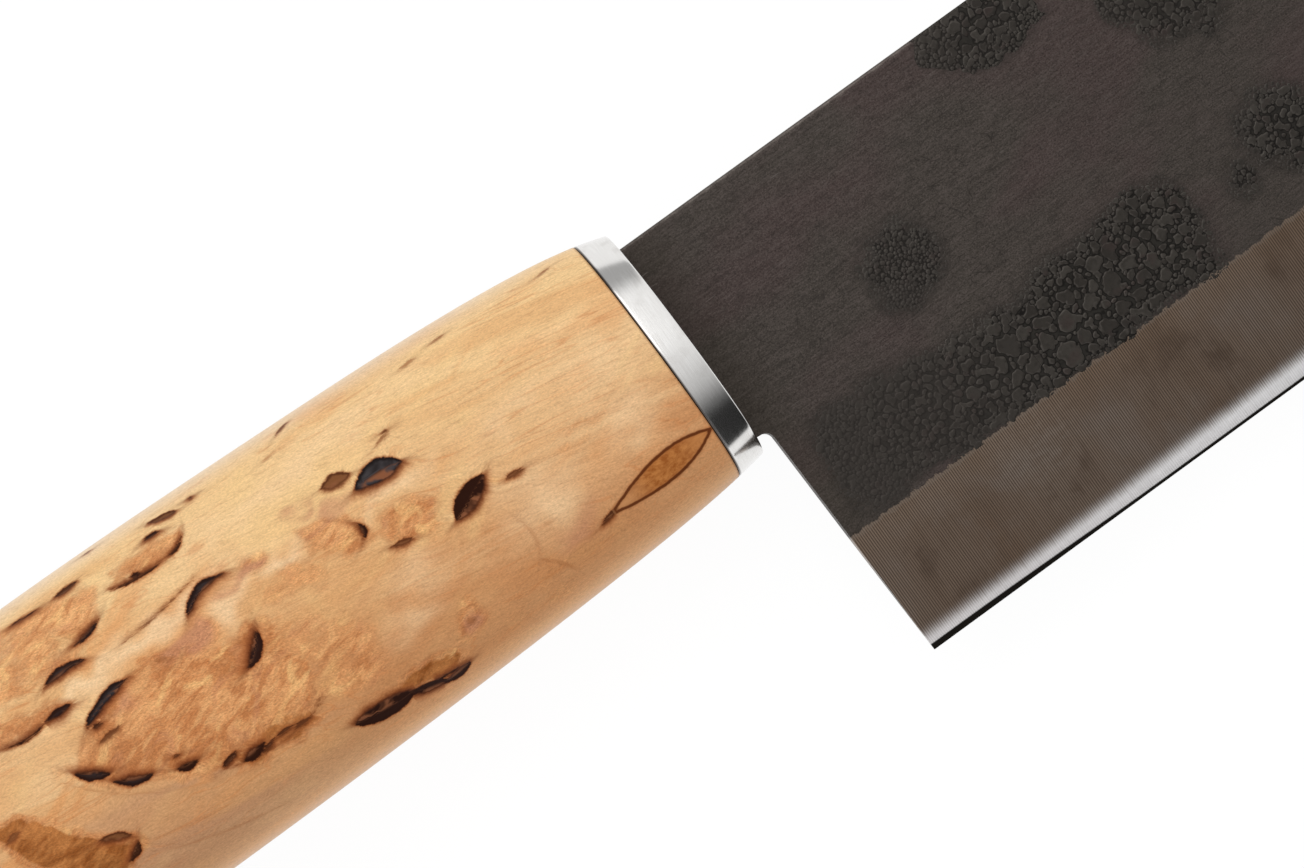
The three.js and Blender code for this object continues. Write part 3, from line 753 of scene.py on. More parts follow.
def fleck_fields(x, g):
    """Signed distance to the nearest curved lens, then its ink, outline, slate, side, tail and push.

    Along a lens t runs from -1 to 1 and q is the distance from its bent middle line, bend times (1 - t^2).
    The half width falls as 1 - t^2, to the power 0.8 for plain flecks. Beyond the ends the distance is
    measured from the end, and the tail is a line that goes on and fades. The push moves the grain aside.
    """
    nearest, (ink, outline, slate, flank, tail, push) = np.full(x.shape, 30.0), np.zeros((6, *x.shape))
    rough = ROUGH * soft_noise(x, g, 1.1, 71)
    for x0, g0, x1, g1, width, bend, dark, rim, grey in flecks:
        half_length = math.hypot(x1 - x0, g1 - g0) / 2
        ex, eg = (x1 - x0) / (2 * half_length), (g1 - g0) / (2 * half_length)
        px, pg = x - (x0 + x1) / 2, g - (g0 + g1) / 2
        t = (px * ex + pg * eg) / half_length
        q = pg * ex - px * eg - bend * (1 - t**2)
        room = width / 2 * np.clip(1 - t**2, 0, 1) ** (0.8 + 0.2 * rim) * (1 + 0.35 * rim * t)
        beyond = np.maximum(np.abs(t) - 1, 0) * half_length
        plain = np.where(beyond > 0, np.hypot(beyond, q), np.abs(q) - room)
        distance = plain + rough * min(1.0, width) * (1 - rim)
        nearer = distance < nearest
        ink, outline = np.where(nearer, dark, ink), np.where(nearer, rim, outline)
        slate = np.where(nearer, grey, slate)
        flank = np.where(nearer, np.clip(-np.sign(bend + 0.001) * q / 0.5, -1, 1), flank)
        nearest = np.minimum(nearest, distance)
        past = soft_step(1.0 + TAIL_LENGTH / half_length, 0.9, np.abs(t))
        tail = np.maximum(tail, dark * past * np.exp(-((q + rough) / TAIL_WIDTH) ** 2))
        fade = np.exp(-np.abs(q) / PUSH_REACH) * np.exp(-np.maximum(t**2 - 0.3, 0))
        push += np.sign(q) * (width / 2 + 0.25) * fade
    return nearest, ink, outline, slate, flank, tail, push


def cloud_field(x, g, places):
    """Strength of the tint: the most of strength times exp(-r^2) over the places, with a wavering rim."""
    wx, wg = x + 3 * soft_noise(x, g, 2.6, 73), g + 2.4 * soft_noise(x, g, 1.9, 74)
    tint = np.zeros(x.shape)
    for cx, cg, long, wide, strong in places:
        along, over = (wx - cx) + 0.12 * (wg - cg), (wg - cg) - 0.12 * (wx - cx)
        tint = np.maximum(tint, strong * np.exp(-((along / long) ** 2 + (over / wide) ** 2)))
    return tint


def zone_fields(x, g):
    """Amber rises to a zone's strength inside its outline, and a thin seam follows the outline.

    The depth in a zone is the least distance to the straight runs of its outline, counted positive inside.
    """
    wx = x + 1.5 * soft_noise(x, g, 2.4, 75) + 0.6 * soft_noise(x, g, 0.8, 76)
    wg = g + 1.3 * soft_noise(x, g, 2.1, 77) + 0.5 * soft_noise(x, g, 0.7, 78)
    amber, seam = np.zeros((2, *x.shape))
    for strong, soft, corners in ZONES_SEEN:
        depth, inside = np.full(x.shape, 99.0), np.zeros(x.shape, bool)
        for (ax, ag), (bx, bg) in zip(corners, corners[1:] + corners[:1]):
            run = (bx - ax) ** 2 + (bg - ag) ** 2
            t = np.clip(((wx - ax) * (bx - ax) + (wg - ag) * (bg - ag)) / run, 0, 1)
            depth = np.minimum(depth, np.hypot(wx - ax - t * (bx - ax), wg - ag - t * (bg - ag)))
            inside ^= ((ag > wg) != (bg > wg)) & (wx < ax + (bx - ax) * (wg - ag) / (bg - ag + 1e-9))
        depth = np.where(inside, depth, -depth)
        amber = np.maximum(amber, strong * soft_step(-soft, soft, depth))
        seam = np.maximum(seam, min(strong, 1) * np.exp(-((depth + 0.1) / 0.3) ** 2) / (0.6 + soft))
    return amber, seam


back_grid, turn_grid = np.meshgrid(backs, turns, indexing="ij")
grip_y, grip_z = oval(back_grid, turn_grid, shares[:, None])
step_y, step_z = (np.diff(part, axis=1, prepend=part[:, :1]) for part in (grip_y, grip_z))
walked = np.cumsum(np.hypot(step_y, step_z), 1)
widest_at = int(np.argmin(np.abs(turns)))
g_grid = walked - walked[:, widest_at:widest_at + 1]
fleck, ink, outline, slate, flank, tail, push = fleck_fields(-back_grid, g_grid)
amber, seam = zone_fields(-back_grid, g_grid)
amber = np.maximum(amber, cloud_field(-back_grid, g_grid, clouds))
pale, mauve = cloud_field(-back_grid, g_grid, PALE_SEEN), cloud_field(-back_grid, g_grid, MAUVE_SEEN)
print("flecks cover", round(float((fleck < 0).mean() * 100), 1), "percent of the points")

# %% Build the grip
PIT, GRAIN_LEAN, STREAK_LEAN = 0.05, math.radians(-11), math.radians(28)
pit = PIT * soft_step(0.05, -0.3, fleck) * np.where(outline > 0.5, 0.25, 1) * (back_grid > FRONT + 0.2)
inward = np.hypot(grip_y, grip_z) + 1e-6
grip_points = np.stack([-back_grid, grip_y * (1 - pit / inward), grip_z * (1 - pit / inward)], -1)


def turned(along, over, angle):
    """Two lengths after a turn of their axes, weighted with the cosine and the sine of the angle."""
    c, s = math.cos(angle), math.sin(angle)
    return along * c + over * s, over * c - along * s


def with_ends(listed):
    """Values of the grid, then one for the butt's pole and one for the middle of the front face."""
    return np.concatenate([listed, listed[-1:], listed[:1]])


grain_along, grain_over = turned(grip_points[..., 0], grip_points[..., 1], GRAIN_LEAN)
grain_over = grain_over + push
grain = np.stack([grain_along, grain_over, grip_points[..., 2]], -1)
slant = np.stack([*turned(grain_along, grain_over, STREAK_LEAN), grip_points[..., 2]], -1)
stations_count, turns_count = back_grid.shape
butt = stations_count * turns_count
ends = [[-(DOME_START + DOME), 0, 0], [-FRONT, -2.0, 0]]
flat_points = np.concatenate([grip_points.reshape(-1, 3), ends])
first = np.arange(turns_count)
last = butt - turns_count + first
grip_faces = [ring_faces(stations_count, turns_count),
              np.stack([last, np.roll(last, -1), np.full(turns_count, butt)], -1),
              np.stack([np.roll(first, -1), first, np.full(turns_count, butt + 1)], -1)]
fields = {"fleck_mm": fleck, "ink": ink, "outline": outline, "slate": slate, "fleck_side": flank,
          "tail": tail, "amber": amber, "seam": seam, "pale": pale, "mauve": mauve}
grip = make_piece("birch_grip", flat_points, grip_faces, {
    "knife_mm": flat_points, "grain_mm": with_ends(grain.reshape(-1, 3)),
    "slant_mm": with_ends(slant.reshape(-1, 3)),
    **{name: with_ends(field.ravel()) for name, field in fields.items()}}, sharp=45)
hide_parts("grip")

# %% [markdown]
# ## Finishes as expressions
#
# A finish in Blender is a net of nodes. Written by hand that takes a line for every wire, so one
# small class stands for a socket and turns ordinary arithmetic into Math nodes. Every other node
# comes from a single method that takes its type, its settings and what goes into its sockets. A
# colour is built up from layers, each with the share of the surface that it covers.

# %% A socket that can be calculated with
class Signal:
    """One output of a node. Adding, subtracting, multiplying or abs() with it adds a Math node."""

    def __init__(self, net, socket):
        self.net, self.socket = net, socket

    def math(self, operation, first, second):
        return self.net.node("ShaderNodeMath", {"operation": operation}, {0: first, 1: second})

    def __add__(self, other):
        return self.math("ADD", self, other)

    def __sub__(self, other):
        return self.math("SUBTRACT", self, other)

    def __rsub__(self, other):
        return self.math("SUBTRACT", other, self)

    def __mul__(self, other):
        return self.math("MULTIPLY", self, other)

    def __abs__(self):
        return self.net.node("ShaderNodeMath", {"operation": "ABSOLUTE"}, {0: self})

    __radd__, __rmul__ = __add__, __mul__

    def ramp(self, low, high):
        """0 at low, 1 at high, smooth in between; low may be the larger."""
        smooth = {"interpolation_type": "SMOOTHSTEP"}
        return self.net.node("ShaderNodeMapRange", smooth, {0: self, 1: low, 2: high})


class Net:
    """The nodes of one finish."""

    def __init__(self, tree):
        self.tree = tree
        tree.nodes.clear()

    def node(self, kind, settings, sockets, output=0):
        """Adds a node: first its settings, then each socket's value or link. Gives back one output."""
        made = self.tree.nodes.new(kind)
        for name, value in settings.items():
            setattr(made, name, value)
        for name, value in sockets.items():
            if isinstance(value, Signal):
                self.tree.links.new(value.socket, made.inputs[name])
            else:
                made.inputs[name].default_value = value
        return Signal(self, made.outputs[output]) if len(made.outputs) else None

    def value(self, name):
        """A number that the piece carries on its points."""
        return self.node("ShaderNodeAttribute", {"attribute_name": name}, {}, "Fac")

    def place(self, name, stretch):
        """A place that the piece carries on its points, times a stretch for each axis."""
        vector = self.node("ShaderNodeAttribute", {"attribute_name": name}, {}, "Vector")
        return self.node("ShaderNodeVectorMath", {"operation": "MULTIPLY"}, {0: vector, 1: stretch})

    def part(self, name, axis):
        """One axis of a place that the piece carries on its points."""
        return self.node("ShaderNodeSeparateXYZ", {}, {0: self.place(name, (1, 1, 1))}, axis)

    def noise(self, name, stretch, detail=2.0, rough=0.5, twist=0.0):
        """Cloud noise at a stretched place."""
        return self.node("ShaderNodeTexNoise", {}, {
            "Vector": self.place(name, stretch), "Scale": 1.0, "Detail": detail, "Roughness": rough,
            "Distortion": twist})

    def mix(self, share, first, second):
        """First colour at share 0, second at share 1."""
        first, second = (c if isinstance(c, Signal) else (*c, 1.0) for c in (first, second))
        return self.node("ShaderNodeMix", {"data_type": "RGBA"}, {0: share, 6: first, 7: second}, 2)

    def over(self, colour, *layers):
        """A colour with layers on it, one after the other, each given as its share and its own colour."""
        for share, layer in layers:
            colour = self.mix(share, colour, layer)
        return colour

    def bump(self, height, distance, strength):
        """A normal tilted by the slope of a height."""
        return self.node("ShaderNodeBump", {}, {
            "Height": height, "Distance": distance, "Strength": strength})


def finish(name):
    """An empty finish with its net."""
    material = bpy.data.materials.new(name)
    material.use_nodes = True
    return material, Net(material.node_tree)


def coat(net, sockets):
    """Closes a net with one Principled shader."""
    shader = net.node("ShaderNodeBsdfPrincipled", {}, sockets)
    net.node("ShaderNodeOutputMaterial", {}, {"Surface": shader})


print("helper classes ready")

# %% [markdown]
# ## Black flats and the ground bevel
#
# The flats carry a thin brown-black skin with cloudy tints and fine lines along the blade. The
# bevel below is bare ground steel, brownish, with close lines square to the edge and a bright band
# where it rounds over: partly a polished band, partly a painted highlight. The sharpened strip is
# painted dark, a painted reflection of the dark side of the room. One finish does all of it,
# because the distance from the edge, carried on the points, says which zone a point is in.

# %% Finish of the blade: black flats
blade_finish, net = finish("forged_blade")
edge, spine, patch = (net.value(name) for name in ("edge_mm", "spine_mm", "patch_mm"))
heel = net.part("knife_mm", "X")
cloud = net.noise("knife_mm", (0.05, 0.09, 0.06), 3)
fine = net.noise("knife_mm", (0.4, 4.6, 1.0), 4, 0.7)
grit = net.noise("knife_mm", (5.5, 7.0, 1.0), 2, 0.8)
mottle = net.noise("knife_mm", (0.7, 1.2, 1.0), 5, 0.7)
scratch = net.noise("knife_mm", (0.28, 4.2, 1.0), 2, 0.5, 0.3).ramp(0.72, 0.79)
cells = net.node("ShaderNodeTexVoronoi", {"feature": "DISTANCE_TO_EDGE"},
                 {"Vector": net.place("knife_mm", (0.55, 0.75, 0.5)), "Scale": 1.0})
crack = cells.ramp(0.035, 0.0) * cloud.ramp(0.52, 0.62) * mottle.ramp(0.42, 0.55)
# A painted highlight along the rounded corner of the spine.
painted_spine_highlight = (spine + (mottle - 0.5) * 0.9 + (fine - 0.5) * 0.4).ramp(0.42, 0.0)
black = net.over(
    net.mix(cloud.ramp(0.4, 0.6), (0.067, 0.0495, 0.046), (0.060, 0.0515, 0.0445)),
    (fine.ramp(0.42, 0.72) * 0.55, (0.098, 0.08, 0.073)),  # pale lines along the blade
    (fine.ramp(0.5, 0.3) * 0.4, (0.036, 0.029, 0.026)),  # dark lines
    (grit.ramp(0.5, 0.7) * 0.75, (0.028, 0.023, 0.0205)),  # dark grains
    (grit.ramp(0.48, 0.3) * 0.65, (0.115, 0.094, 0.086)),  # pale grains
    (mottle.ramp(0.5, 0.68) * 0.3, (0.034, 0.030, 0.027)),
    (crack * 0.55, (0.022, 0.019, 0.017)),
    (patch.ramp(-1.3, 0.2) * 0.5, (0.026, 0.023, 0.0205)),  # darker round the scale
    (heel.ramp(7.0, 1.0) * 0.35, (0.038, 0.031, 0.023)),  # browner at the neck
    (scratch * 0.4, (0.17, 0.15, 0.138)),
    (painted_spine_highlight * 0.6, (0.17, 0.15, 0.135)))  # painted highlight along the rounded corner of the spine
print("black flats:", len(blade_finish.node_tree.nodes), "nodes")

# %% Finish of the blade: ground bevel
LINE_PITCH, SMEAR_AT = 0.235, (21.5, -26.5, 0)
wander = net.noise("knife_mm", (0.35, 0.3, 0.3), 2)
line_turn = heel * (2 * math.pi / LINE_PITCH) + wander * 1.2
hatch = net.node("ShaderNodeMath", {"operation": "SINE"}, {0: line_turn})
ground_lines = net.noise("knife_mm", (7.0, 0.05, 1.0), 2, 0.6)
haze = net.noise("knife_mm", (0.12, 0.1, 0.1), 5, 0.6, 0.3)
tint = net.noise("knife_mm", (0.06, 0.03, 0.1), 2)
smear_away = net.node("ShaderNodeVectorMath", {"operation": "DISTANCE"},
                      {0: net.place("knife_mm", (1, 1, 0)), 1: SMEAR_AT}, "Value")
smear = smear_away.ramp(6.5, 1.0) * mottle.ramp(0.35, 0.65)
# A bright band near the edge: partly a polished band, partly a painted highlight of the rounded bevel.
nearly = (edge + (ground_lines - 0.5) * 0.5 - heel.ramp(4.0, 60.0) * 0.35).ramp(3.0, 0.9)
polish_and_painted_highlight = nearly * nearly
bright = net.mix(heel.ramp(4.0, 46.0), (0.82, 0.79, 0.79), (1.0, 0.985, 0.99))
# The sharpened strip is painted dark: a painted reflection of the dark side of the room.
strip = (edge - heel.ramp(30.0, 5.0) * 0.3).ramp(0.38, 0.24)
ragged = edge + (net.noise("knife_mm", (1.5, 1.5, 1.5), 5, 0.7) - 0.5) * 1.3
ground = ragged.ramp(13.32, 13.18)
brown = net.over(
    net.mix(tint.ramp(0.38, 0.62), (0.172, 0.115, 0.079), (0.203, 0.151, 0.116)),
    (haze.ramp(0.48, 0.66) * 0.7, (0.228, 0.182, 0.152)),  # pale haze
    (haze.ramp(0.47, 0.32) * 0.7, (0.102, 0.068, 0.048)),  # dark haze
    (smear * 0.6, (0.27, 0.225, 0.19)),
    (edge.ramp(8.5, 13.0) * 0.5, (0.25, 0.172, 0.118)),  # warmer towards the flats
    # painted highlight of the rounded bevel, over a polished band
    (polish_and_painted_highlight, bright),
    ((hatch * 0.5 + 0.5) * (0.85 - polish_and_painted_highlight * 0.7), (0.045, 0.033, 0.026)),  # lines of the grinding
    (ground_lines.ramp(0.5, 0.34) * 0.1, (0.045, 0.032, 0.025)),
    (ground_lines.ramp(0.52, 0.7) * 0.1, (0.23, 0.185, 0.155)),
    # painted reflection: the sharpened strip painted dark
    (strip, (0.014, 0.012, 0.010)),
    (ragged.ramp(12.75, 13.12) * 0.45, (0.18, 0.145, 0.118)))  # lip under the flats
skin = fine * 0.5 + grit * 0.5 + mottle * 0.5
relief = skin + (hatch * 0.08 + ground_lines * 0.3 - skin) * ground
coat(net, {"Base Color": net.mix(ground, black, brown), "Metallic": 1.0,
           "Roughness": 0.5 - ground * 0.12 + (mottle - 0.5) * 0.2,
           "Normal": net.bump(relief, 0.00002, 0.55)})
blade.data.materials.append(blade_finish)
print("blade finish:", len(blade_finish.node_tree.nodes), "nodes")

# %% [markdown]
# ## Forge scale
#
# Scale is the same black oxide, thicker and rougher. The gaps between islands are darkest, and
# each island carries a painted highlight towards its rim.

# %% Finish of the scale
scale_finish, net = finish("forge_scale")
gap, tone, strength = (net.value(name) for name in ("island_mm", "tone", "strength"))
mottle = net.noise("knife_mm", (1.8, 1.8, 1.0), 4, 0.65)
fine = net.noise("knife_mm", (0.8, 4.2, 1.0), 4, 0.7)
rusty = net.noise("knife_mm", (0.5, 0.6, 0.5), 2)
# A painted highlight just inside the rim of each island.
painted_rim_highlight = gap.ramp(0.02, 0.06) * gap.ramp(0.2, 0.09) * mottle.ramp(0.62, 0.38)
island = net.over(
    net.mix(tone, (0.034, 0.030, 0.0265), (0.053, 0.0475, 0.0415)),
    (mottle.ramp(0.45, 0.7) * 0.5, (0.028, 0.025, 0.022)),
    (rusty.ramp(0.56, 0.7) * 0.5, (0.050, 0.037, 0.034)),
    # painted highlight at the island rims
    (painted_rim_highlight * 0.6, (0.078, 0.070, 0.062)))
floor = net.over(
    net.mix(mottle.ramp(0.35, 0.65), (0.023, 0.0213, 0.019), (0.031, 0.0285, 0.025)),
    (gap.ramp(-0.14, -0.01) * 0.8, (0.0105, 0.0095, 0.0088)),  # shade beside the islands
    (gap.ramp(-0.01, 0.04), island))
plain = net.mix(fine.ramp(0.42, 0.72) * 0.4, (0.042, 0.0365, 0.0325), (0.075, 0.063, 0.057))
coat(net, {"Base Color": net.mix(strength, plain, floor), "Metallic": 1.0,
           "Roughness": 0.48 + (mottle - 0.5) * 0.25, "Normal": net.bump(mottle, 0.00002, 0.5)})
for shell in scale_shells:
    shell.data.materials.append(scale_finish)
print("scale finish:", len(scale_finish.node_tree.nodes), "nodes")

# %% [markdown]
# ## Satin steel of the bolster
#
# The band was finished with fine paper drawn along it, so its scratches run round the grip. An
# anisotropic shader would smear the highlight but show no line, so noise does it: stretched along
# the girth and squeezed across the band.

# %% Finish of the bolster
bolster_finish, net = finish("satin_bolster")
along = net.part("knife_mm", "X")
drawn = net.node("ShaderNodeCombineXYZ", {}, {0: along * 22.0, 1: net.value("girth_mm") * 0.3, 2: 0.0})
lines = net.node("ShaderNodeTexNoise", {}, {"Vector": drawn, "Scale": 1.0, "Detail": 3.0, "Roughness": 0.6})
smudge = net.noise("knife_mm", (0.6, 0.6, 0.6), 3)
steel = net.over(
    net.mix(lines.ramp(0.3, 0.7), (0.74, 0.725, 0.705), (0.83, 0.82, 0.805)),
    (smudge.ramp(0.5, 0.8) * 0.3, (0.5, 0.475, 0.45)),
    (along.ramp(-BAND + 0.28, -BAND + 0.1), (0.09, 0.075, 0.065)))  # painted shade of the joint with the wood, over the bright rim
coat(net, {"Base Color": steel, "Metallic": 1.0, "Roughness": 0.12 + lines * 0.06,
           "Normal": net.bump(lines, 0.00001, 0.06)})
bolster.data.materials.append(bolster_finish)
print("bolster finish:", len(bolster_finish.node_tree.nodes), "nodes")

# %% [markdown]
# ## Oiled curly birch
#
# The wood is pale with fine fibres along the grain, soft honey bands and amber clouds. On top of
# that, painted light makes it paler on the upper half and along the lines of spine and belly, and
# painted shade makes the lower half darker. The flecks are bark that was grown in: nearly black in the
# middle with a brown halo. Fibres, bands and clouds are noises at the bent grain place, so they flow
# round the flecks. The colour is laid on in steps, as a painter would: plain wood, then the clouds,
# then the flecks. Oil leaves the wood matt with a soft sheen.

# %% Finish of the grip: values and noises
birch_finish, net = finish("oiled_birch")
fleck_at, ink_at, outline_at, side_at, slate_and_sheen_at = (
    net.value(name) for name in ("fleck_mm", "ink", "outline", "fleck_side", "slate"))
tail_at, amber_at, seam_at, pale_at, mauve_at = (
    net.value(name) for name in ("tail", "amber", "seam", "pale", "mauve"))
back, height = net.part("knife_mm", "X"), net.part("knife_mm", "Y")
aside = abs(net.part("knife_mm", "Z"))
fibre = net.noise("grain_mm", (0.5, 5.0, 5.0), 3, 0.7)
felt = net.noise("grain_mm", (4.0, 8.0, 8.0), 2, 0.7)
bands = net.noise("grain_mm", (0.03, 0.24, 0.24), 2, 0.45, 0.6)
vein = net.noise("grain_mm", (0.04, 0.6, 0.6), 2, 0.5, 0.3)
flame = net.noise("slant_mm", (0.06, 0.17, 0.17), 3, 0.5, 0.8)
curl = net.noise("grain_mm", (0.24, 0.36, 0.36), 5, 0.6, 0.5)
ripple = net.noise("slant_mm", (0.4, 1.5, 1.5), 2, 0.5, 0.5)
glint = net.noise("slant_mm", (0.26, 0.55, 0.55), 2, 0.5, 0.9)
speck = net.noise("grain_mm", (2.0, 3.6, 3.6), 2, 0.6)
veil = net.noise("grain_mm", (0.5, 1.2, 1.2), 2, 0.5, 0.4)
bark_grain = net.noise("grain_mm", (1.0, 2.4, 2.4), 4, 0.6)
print("birch values and noises:", len(birch_finish.node_tree.nodes), "nodes")

# %% Finish of the grip: plain wood, with painted light and shade
# Painted light and shade: the upper half paler, the lower half darker.
painted_top_light = height.ramp(-9.0, 1.0)
thin_vein = abs(vein - 0.5).ramp(0.022, 0.0)
# Painted light: pale strips along the belly and the spine line, where light wraps round the outlines.
belly = aside.ramp(9.6, 3.8) * height.ramp(-4.0, -9.0)
spine_line_painted_light = aside.ramp(5.2, 1.6) * height.ramp(5.0, 10.0) * back.ramp(-4.0, -16.0)
wood = net.over(
    net.mix(back.ramp(-6.0, -42.0), (0.68, 0.43, 0.213), (0.635, 0.36, 0.162)),
    (height.ramp(4.0, -7.0) * back.ramp(-62.0, -38.0) * 0.85, (0.47, 0.2, 0.076)),  # painted shade: lower half darker in front
    (height.ramp(0.0, -7.0) * back.ramp(-38.0, -62.0) * 0.9, (0.44, 0.222, 0.113)),  # painted shade: lower half darker behind
    (height.ramp(3.0, 12.0) * 0.8, (0.73, 0.5, 0.248)),  # painted light: upper half paler
    (bands.ramp(0.5, 0.66) * 0.5, (0.6, 0.31, 0.125)),  # honey bands
    (bands.ramp(0.47, 0.34) * (0.1 + painted_top_light * 0.4), (0.745, 0.505, 0.268)),  # pale bands, stronger on top as painted light
    (flame.ramp(0.5, 0.68) * (0.38 + back.ramp(-20.0, -50.0) * 0.22), (0.6, 0.262, 0.092)),  # dark flames
    (flame.ramp(0.46, 0.32) * (0.06 + painted_top_light * 0.29), (0.765, 0.52, 0.232)),  # pale flames, stronger on top as painted light
    (thin_vein * flame.ramp(0.36, 0.56) * 0.45, (0.5, 0.185, 0.06)),
    (pale_at * 0.85, (0.76, 0.53, 0.305)),
    # painted light along the belly and the spine line
    (belly * 0.95, (0.76, 0.43, 0.21)),
    (spine_line_painted_light * 0.75, (0.73, 0.565, 0.39)))
print("plain wood:", len(birch_finish.node_tree.nodes), "nodes")

# %% Finish of the grip: amber clouds
stain = (amber_at + (curl - 0.5) * 1.7).ramp(0.1, 0.85) * amber_at.ramp(0.02, 0.3)
honey = net.over(
    net.mix(curl.ramp(0.36, 0.64), (0.43, 0.155, 0.049), (0.63, 0.3, 0.12)),
    (ripple.ramp(0.5, 0.66) * 0.45, (0.71, 0.39, 0.165)),
    (ripple.ramp(0.48, 0.33) * 0.75, (0.39, 0.132, 0.04)),
    (glint.ramp(0.54, 0.68) * 0.6, (0.77, 0.46, 0.185)),
    (glint.ramp(0.45, 0.31) * 0.5, (0.44, 0.18, 0.085)),
    (speck.ramp(0.54, 0.72) * 0.3, (0.38, 0.13, 0.038)),
    (fleck_at.ramp(2.4, 0.0) * curl.ramp(0.62, 0.42) * 0.6, (0.36, 0.12, 0.036)))  # darker beside flecks
umber = net.mix((curl * 0.6 + ripple * 0.4).ramp(0.38, 0.62), (0.2, 0.055, 0.008), (0.405, 0.148, 0.038))
wood = net.over(
    wood,
    (stain * 0.9, honey),
    ((mauve_at + (curl - 0.5) * 0.5).ramp(0.2, 0.8) * 0.75, (0.45, 0.2, 0.108)),
    ((amber_at + (curl - 0.5) * 0.5).ramp(1.0, 1.4) * 0.9, umber),  # only the strongest zones
    (seam_at * ripple.ramp(0.36, 0.6) * 0.6, (0.36, 0.13, 0.044)),
    (fibre.ramp(0.48, 0.3) * (1 - stain) * 0.2, (0.45, 0.2, 0.075)))
shade = 1.02 + (fibre - 0.5) * 0.4 + (felt - 0.5) * (stain * 0.6 + 0.75)
wood = net.node("ShaderNodeVectorMath", {"operation": "SCALE"}, {0: wood, "Scale": shade}, "Vector")
print("with amber clouds:", len(birch_finish.node_tree.nodes), "nodes")

# %% Finish of the grip: flecks
soft = side_at.ramp(-0.3, 0.8)
ragged = fleck_at + (bark_grain - 0.5) * 0.5 + (felt - 0.5) * 0.2
dark = ink_at.ramp(0.0, 0.75) * (1 - outline_at)
halo = ragged.ramp(ink_at * (soft * 0.9 + 0.35) + 0.05, -0.02)
rust = ragged.ramp(ink_at * (soft * 0.55 + 0.16), -0.1)
brown_bark = net.over(
    net.mix(ragged.ramp(-0.1, -0.4), (0.09, 0.025, 0.007), (0.22, 0.082, 0.028)),
    (ink_at.ramp(0.45, 0.2), (0.5, 0.2, 0.07)))
bark = net.over(
    net.mix(slate_and_sheen_at, (0.020, 0.004, 0.0008), (0.009, 0.0055, 0.0055)),
    (ink_at.ramp(0.85, 0.5), brown_bark),
    # painted sheen inside slate flecks, over their blue-grey colour
    (ragged.ramp(-0.16, -0.5) * veil.ramp(0.25, 0.6) * slate_and_sheen_at, (0.045, 0.039, 0.041)),
    (ragged.ramp(-0.06, -0.3) * soft * veil.ramp(0.6, 0.42) * 0.85, (0.24, 0.085, 0.036)))
heart = net.over(
    net.mix((fibre * 0.6 + bark_grain * 0.4).ramp(0.38, 0.62), (0.29, 0.085, 0.016), (0.47, 0.182, 0.048)),
    (back.ramp(-10.0, -15.0) * 0.75, (0.6, 0.31, 0.135)),
    (back.ramp(-8.0, -3.5) * 0.5, (0.56, 0.25, 0.09)))
drawn_line = abs(fleck_at + 0.16 + (bark_grain - 0.5) * 0.25)
core = ragged.ramp(soft * 0.1 + 0.05, -0.09 - soft * 0.22)
core = core + (fleck_at.ramp(0.06, -0.16) - core) * outline_at
wood = net.over(
    wood,
    (back.ramp(-FRONT - 0.22, -FRONT) * 0.55, (0.16, 0.06, 0.022)),  # painted shade of the gap at the joint with the bolster
    (halo * dark * 0.75, (0.35, 0.105, 0.028)),
    (rust * dark * 0.9, (0.135, 0.03, 0.007)),
    (tail_at * ripple.ramp(0.25, 0.5) * 0.85, (0.2, 0.06, 0.018)),
    (core * ink_at.ramp(0.0, 0.7), net.mix(outline_at, bark, heart)),
    (drawn_line.ramp(0.5, 0.1) * outline_at * 0.4, (0.36, 0.115, 0.03)),
    (drawn_line.ramp(0.24, 0.08) * outline_at * 0.95, (0.1, 0.022, 0.004)))
coat(net, {"Base Color": wood, "Roughness": 0.55 + core * 0.1 + (fibre - 0.5) * 0.15,
           "Specular IOR Level": 0.06, "Sheen Weight": 0.5, "Sheen Roughness": 0.3,
           "Normal": net.bump(fibre * 0.6 + felt * 0.4, 0.00004, 0.5)})
grip.data.materials.append(birch_finish)
print("birch finish:", len(birch_finish.node_tree.nodes), "nodes")

# %% [markdown]
# ## The glue bed
#
# The adhesive that holds the tang is out of sight inside the grip. Its solid is kept as it is, with
# the amber of a cured resin and a few clouds from mixing.

# %% Finish of the hidden resin
resin_finish, net = finish("cured_glue")
inside = net.node("ShaderNodeTexCoord", {}, {}, "Object")
swirl = net.node("ShaderNodeTexNoise", {}, {"Vector": inside, "Scale": 260.0, "Detail": 3.0})
amber_glue = net.mix(swirl.ramp(0.35, 0.65), (0.44, 0.31, 0.14), (0.54, 0.4, 0.21))
coat(net, {"Base Color": amber_glue, "Roughness": 0.25 + swirl * 0.1})
resin = frame["nodes"]["tang_resin"]
for place in resin.material_slots:
    place.material = resin_finish
print("resin finish on", len(resin.material_slots), "slot")

# %% [markdown]
# ## Table and light
#
# The table is white. To the camera and in reflections it glows softly, so the background is white
# without flooding the knife with light, and the part of it that is an ordinary white surface keeps
# the shadow. The room is a bright tent that is open, and so dark, low on the edge's side: steel
# needs something dark to mirror, or it looks like grey plastic. One broad lamp stands on the
# spine's side.

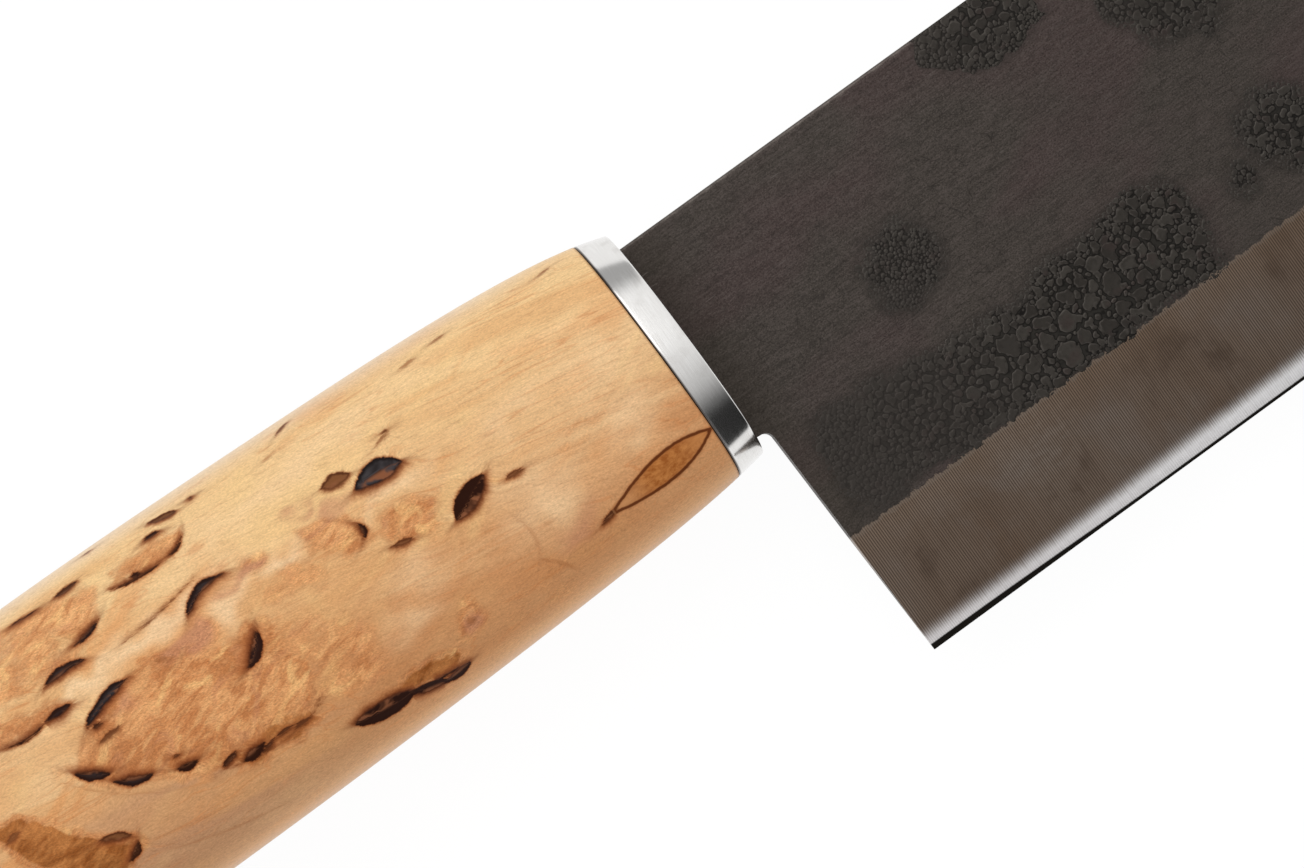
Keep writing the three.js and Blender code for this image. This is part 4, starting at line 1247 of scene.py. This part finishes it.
# %% White table
TABLE_HALF, TABLE_Z = 10, -0.0002
table_finish, net = finish("white_table")
to_eye, mirrored, through = (net.node("ShaderNodeLightPath", {}, {}, name) for name in (
    "Is Camera Ray", "Is Glossy Ray", "Is Transmission Ray"))
seen = (to_eye + mirrored + through).ramp(0.0, 1.0) * 0.92
glow = net.node("ShaderNodeEmission", {}, {"Color": (1, 1, 1, 1), "Strength": 1.03})
paper = net.node("ShaderNodeBsdfDiffuse", {}, {"Color": (0.86, 0.86, 0.86, 1)})
white = net.node("ShaderNodeMixShader", {}, {0: seen, 1: paper, 2: glow})
net.node("ShaderNodeOutputMaterial", {}, {"Surface": white})
corners = [(TABLE_HALF * x, TABLE_HALF * y, TABLE_Z) for x, y in ((-1, -1), (1, -1), (1, 1), (-1, 1))]
mesh = bpy.data.meshes.new("table")
mesh.from_pydata(corners, [], [(0, 1, 2, 3)])
table = bpy.data.objects.new("table", mesh)
table.data.materials.append(table_finish)
scene.collection.objects.link(table)
print("table is", 2 * TABLE_HALF, "m wide")

# %% Light tent and lamp
TENT, DARK_SIDE = 1.0, 0.02
LAMP_SIDE, LAMP_WATTS, LAMP_TILT = 0.6, 2.2, math.radians(-40)
world = bpy.data.worlds.new("tent")
world.use_nodes = True
scene.world = world
net = Net(world.node_tree)
direction = net.node("ShaderNodeTexCoord", {}, {}, "Generated")
forward, sideways, height = (
    net.node("ShaderNodeSeparateXYZ", {}, {0: direction}, axis) for axis in "XYZ")
tent = TENT - sideways.ramp(0.76, 0.88) * 0.58
opening = sideways.ramp(0.42, -0.6) * forward.ramp(0.1, 0.24) * forward.ramp(0.8, 0.55)
tent = tent + opening * (DARK_SIDE - tent)
tent = tent + height.ramp(0.07, 0.01) * (1.0 - tent)
sky = net.node("ShaderNodeBackground", {}, {"Color": (1, 1, 1, 1), "Strength": tent})
net.node("ShaderNodeOutputWorld", {}, {"Surface": sky})
lamp = bpy.data.objects.new("broad_lamp", bpy.data.lights.new("broad_lamp", "AREA"))
lamp.data.shape, lamp.data.size, lamp.data.energy = "SQUARE", LAMP_SIDE, LAMP_WATTS
lamp.location = (-0.1, 0.52, 0.62)
lamp.rotation_euler = (LAMP_TILT, 0, 0)
scene.collection.objects.link(lamp)
print("tent", TENT, "lamp", lamp.data.energy, "W")
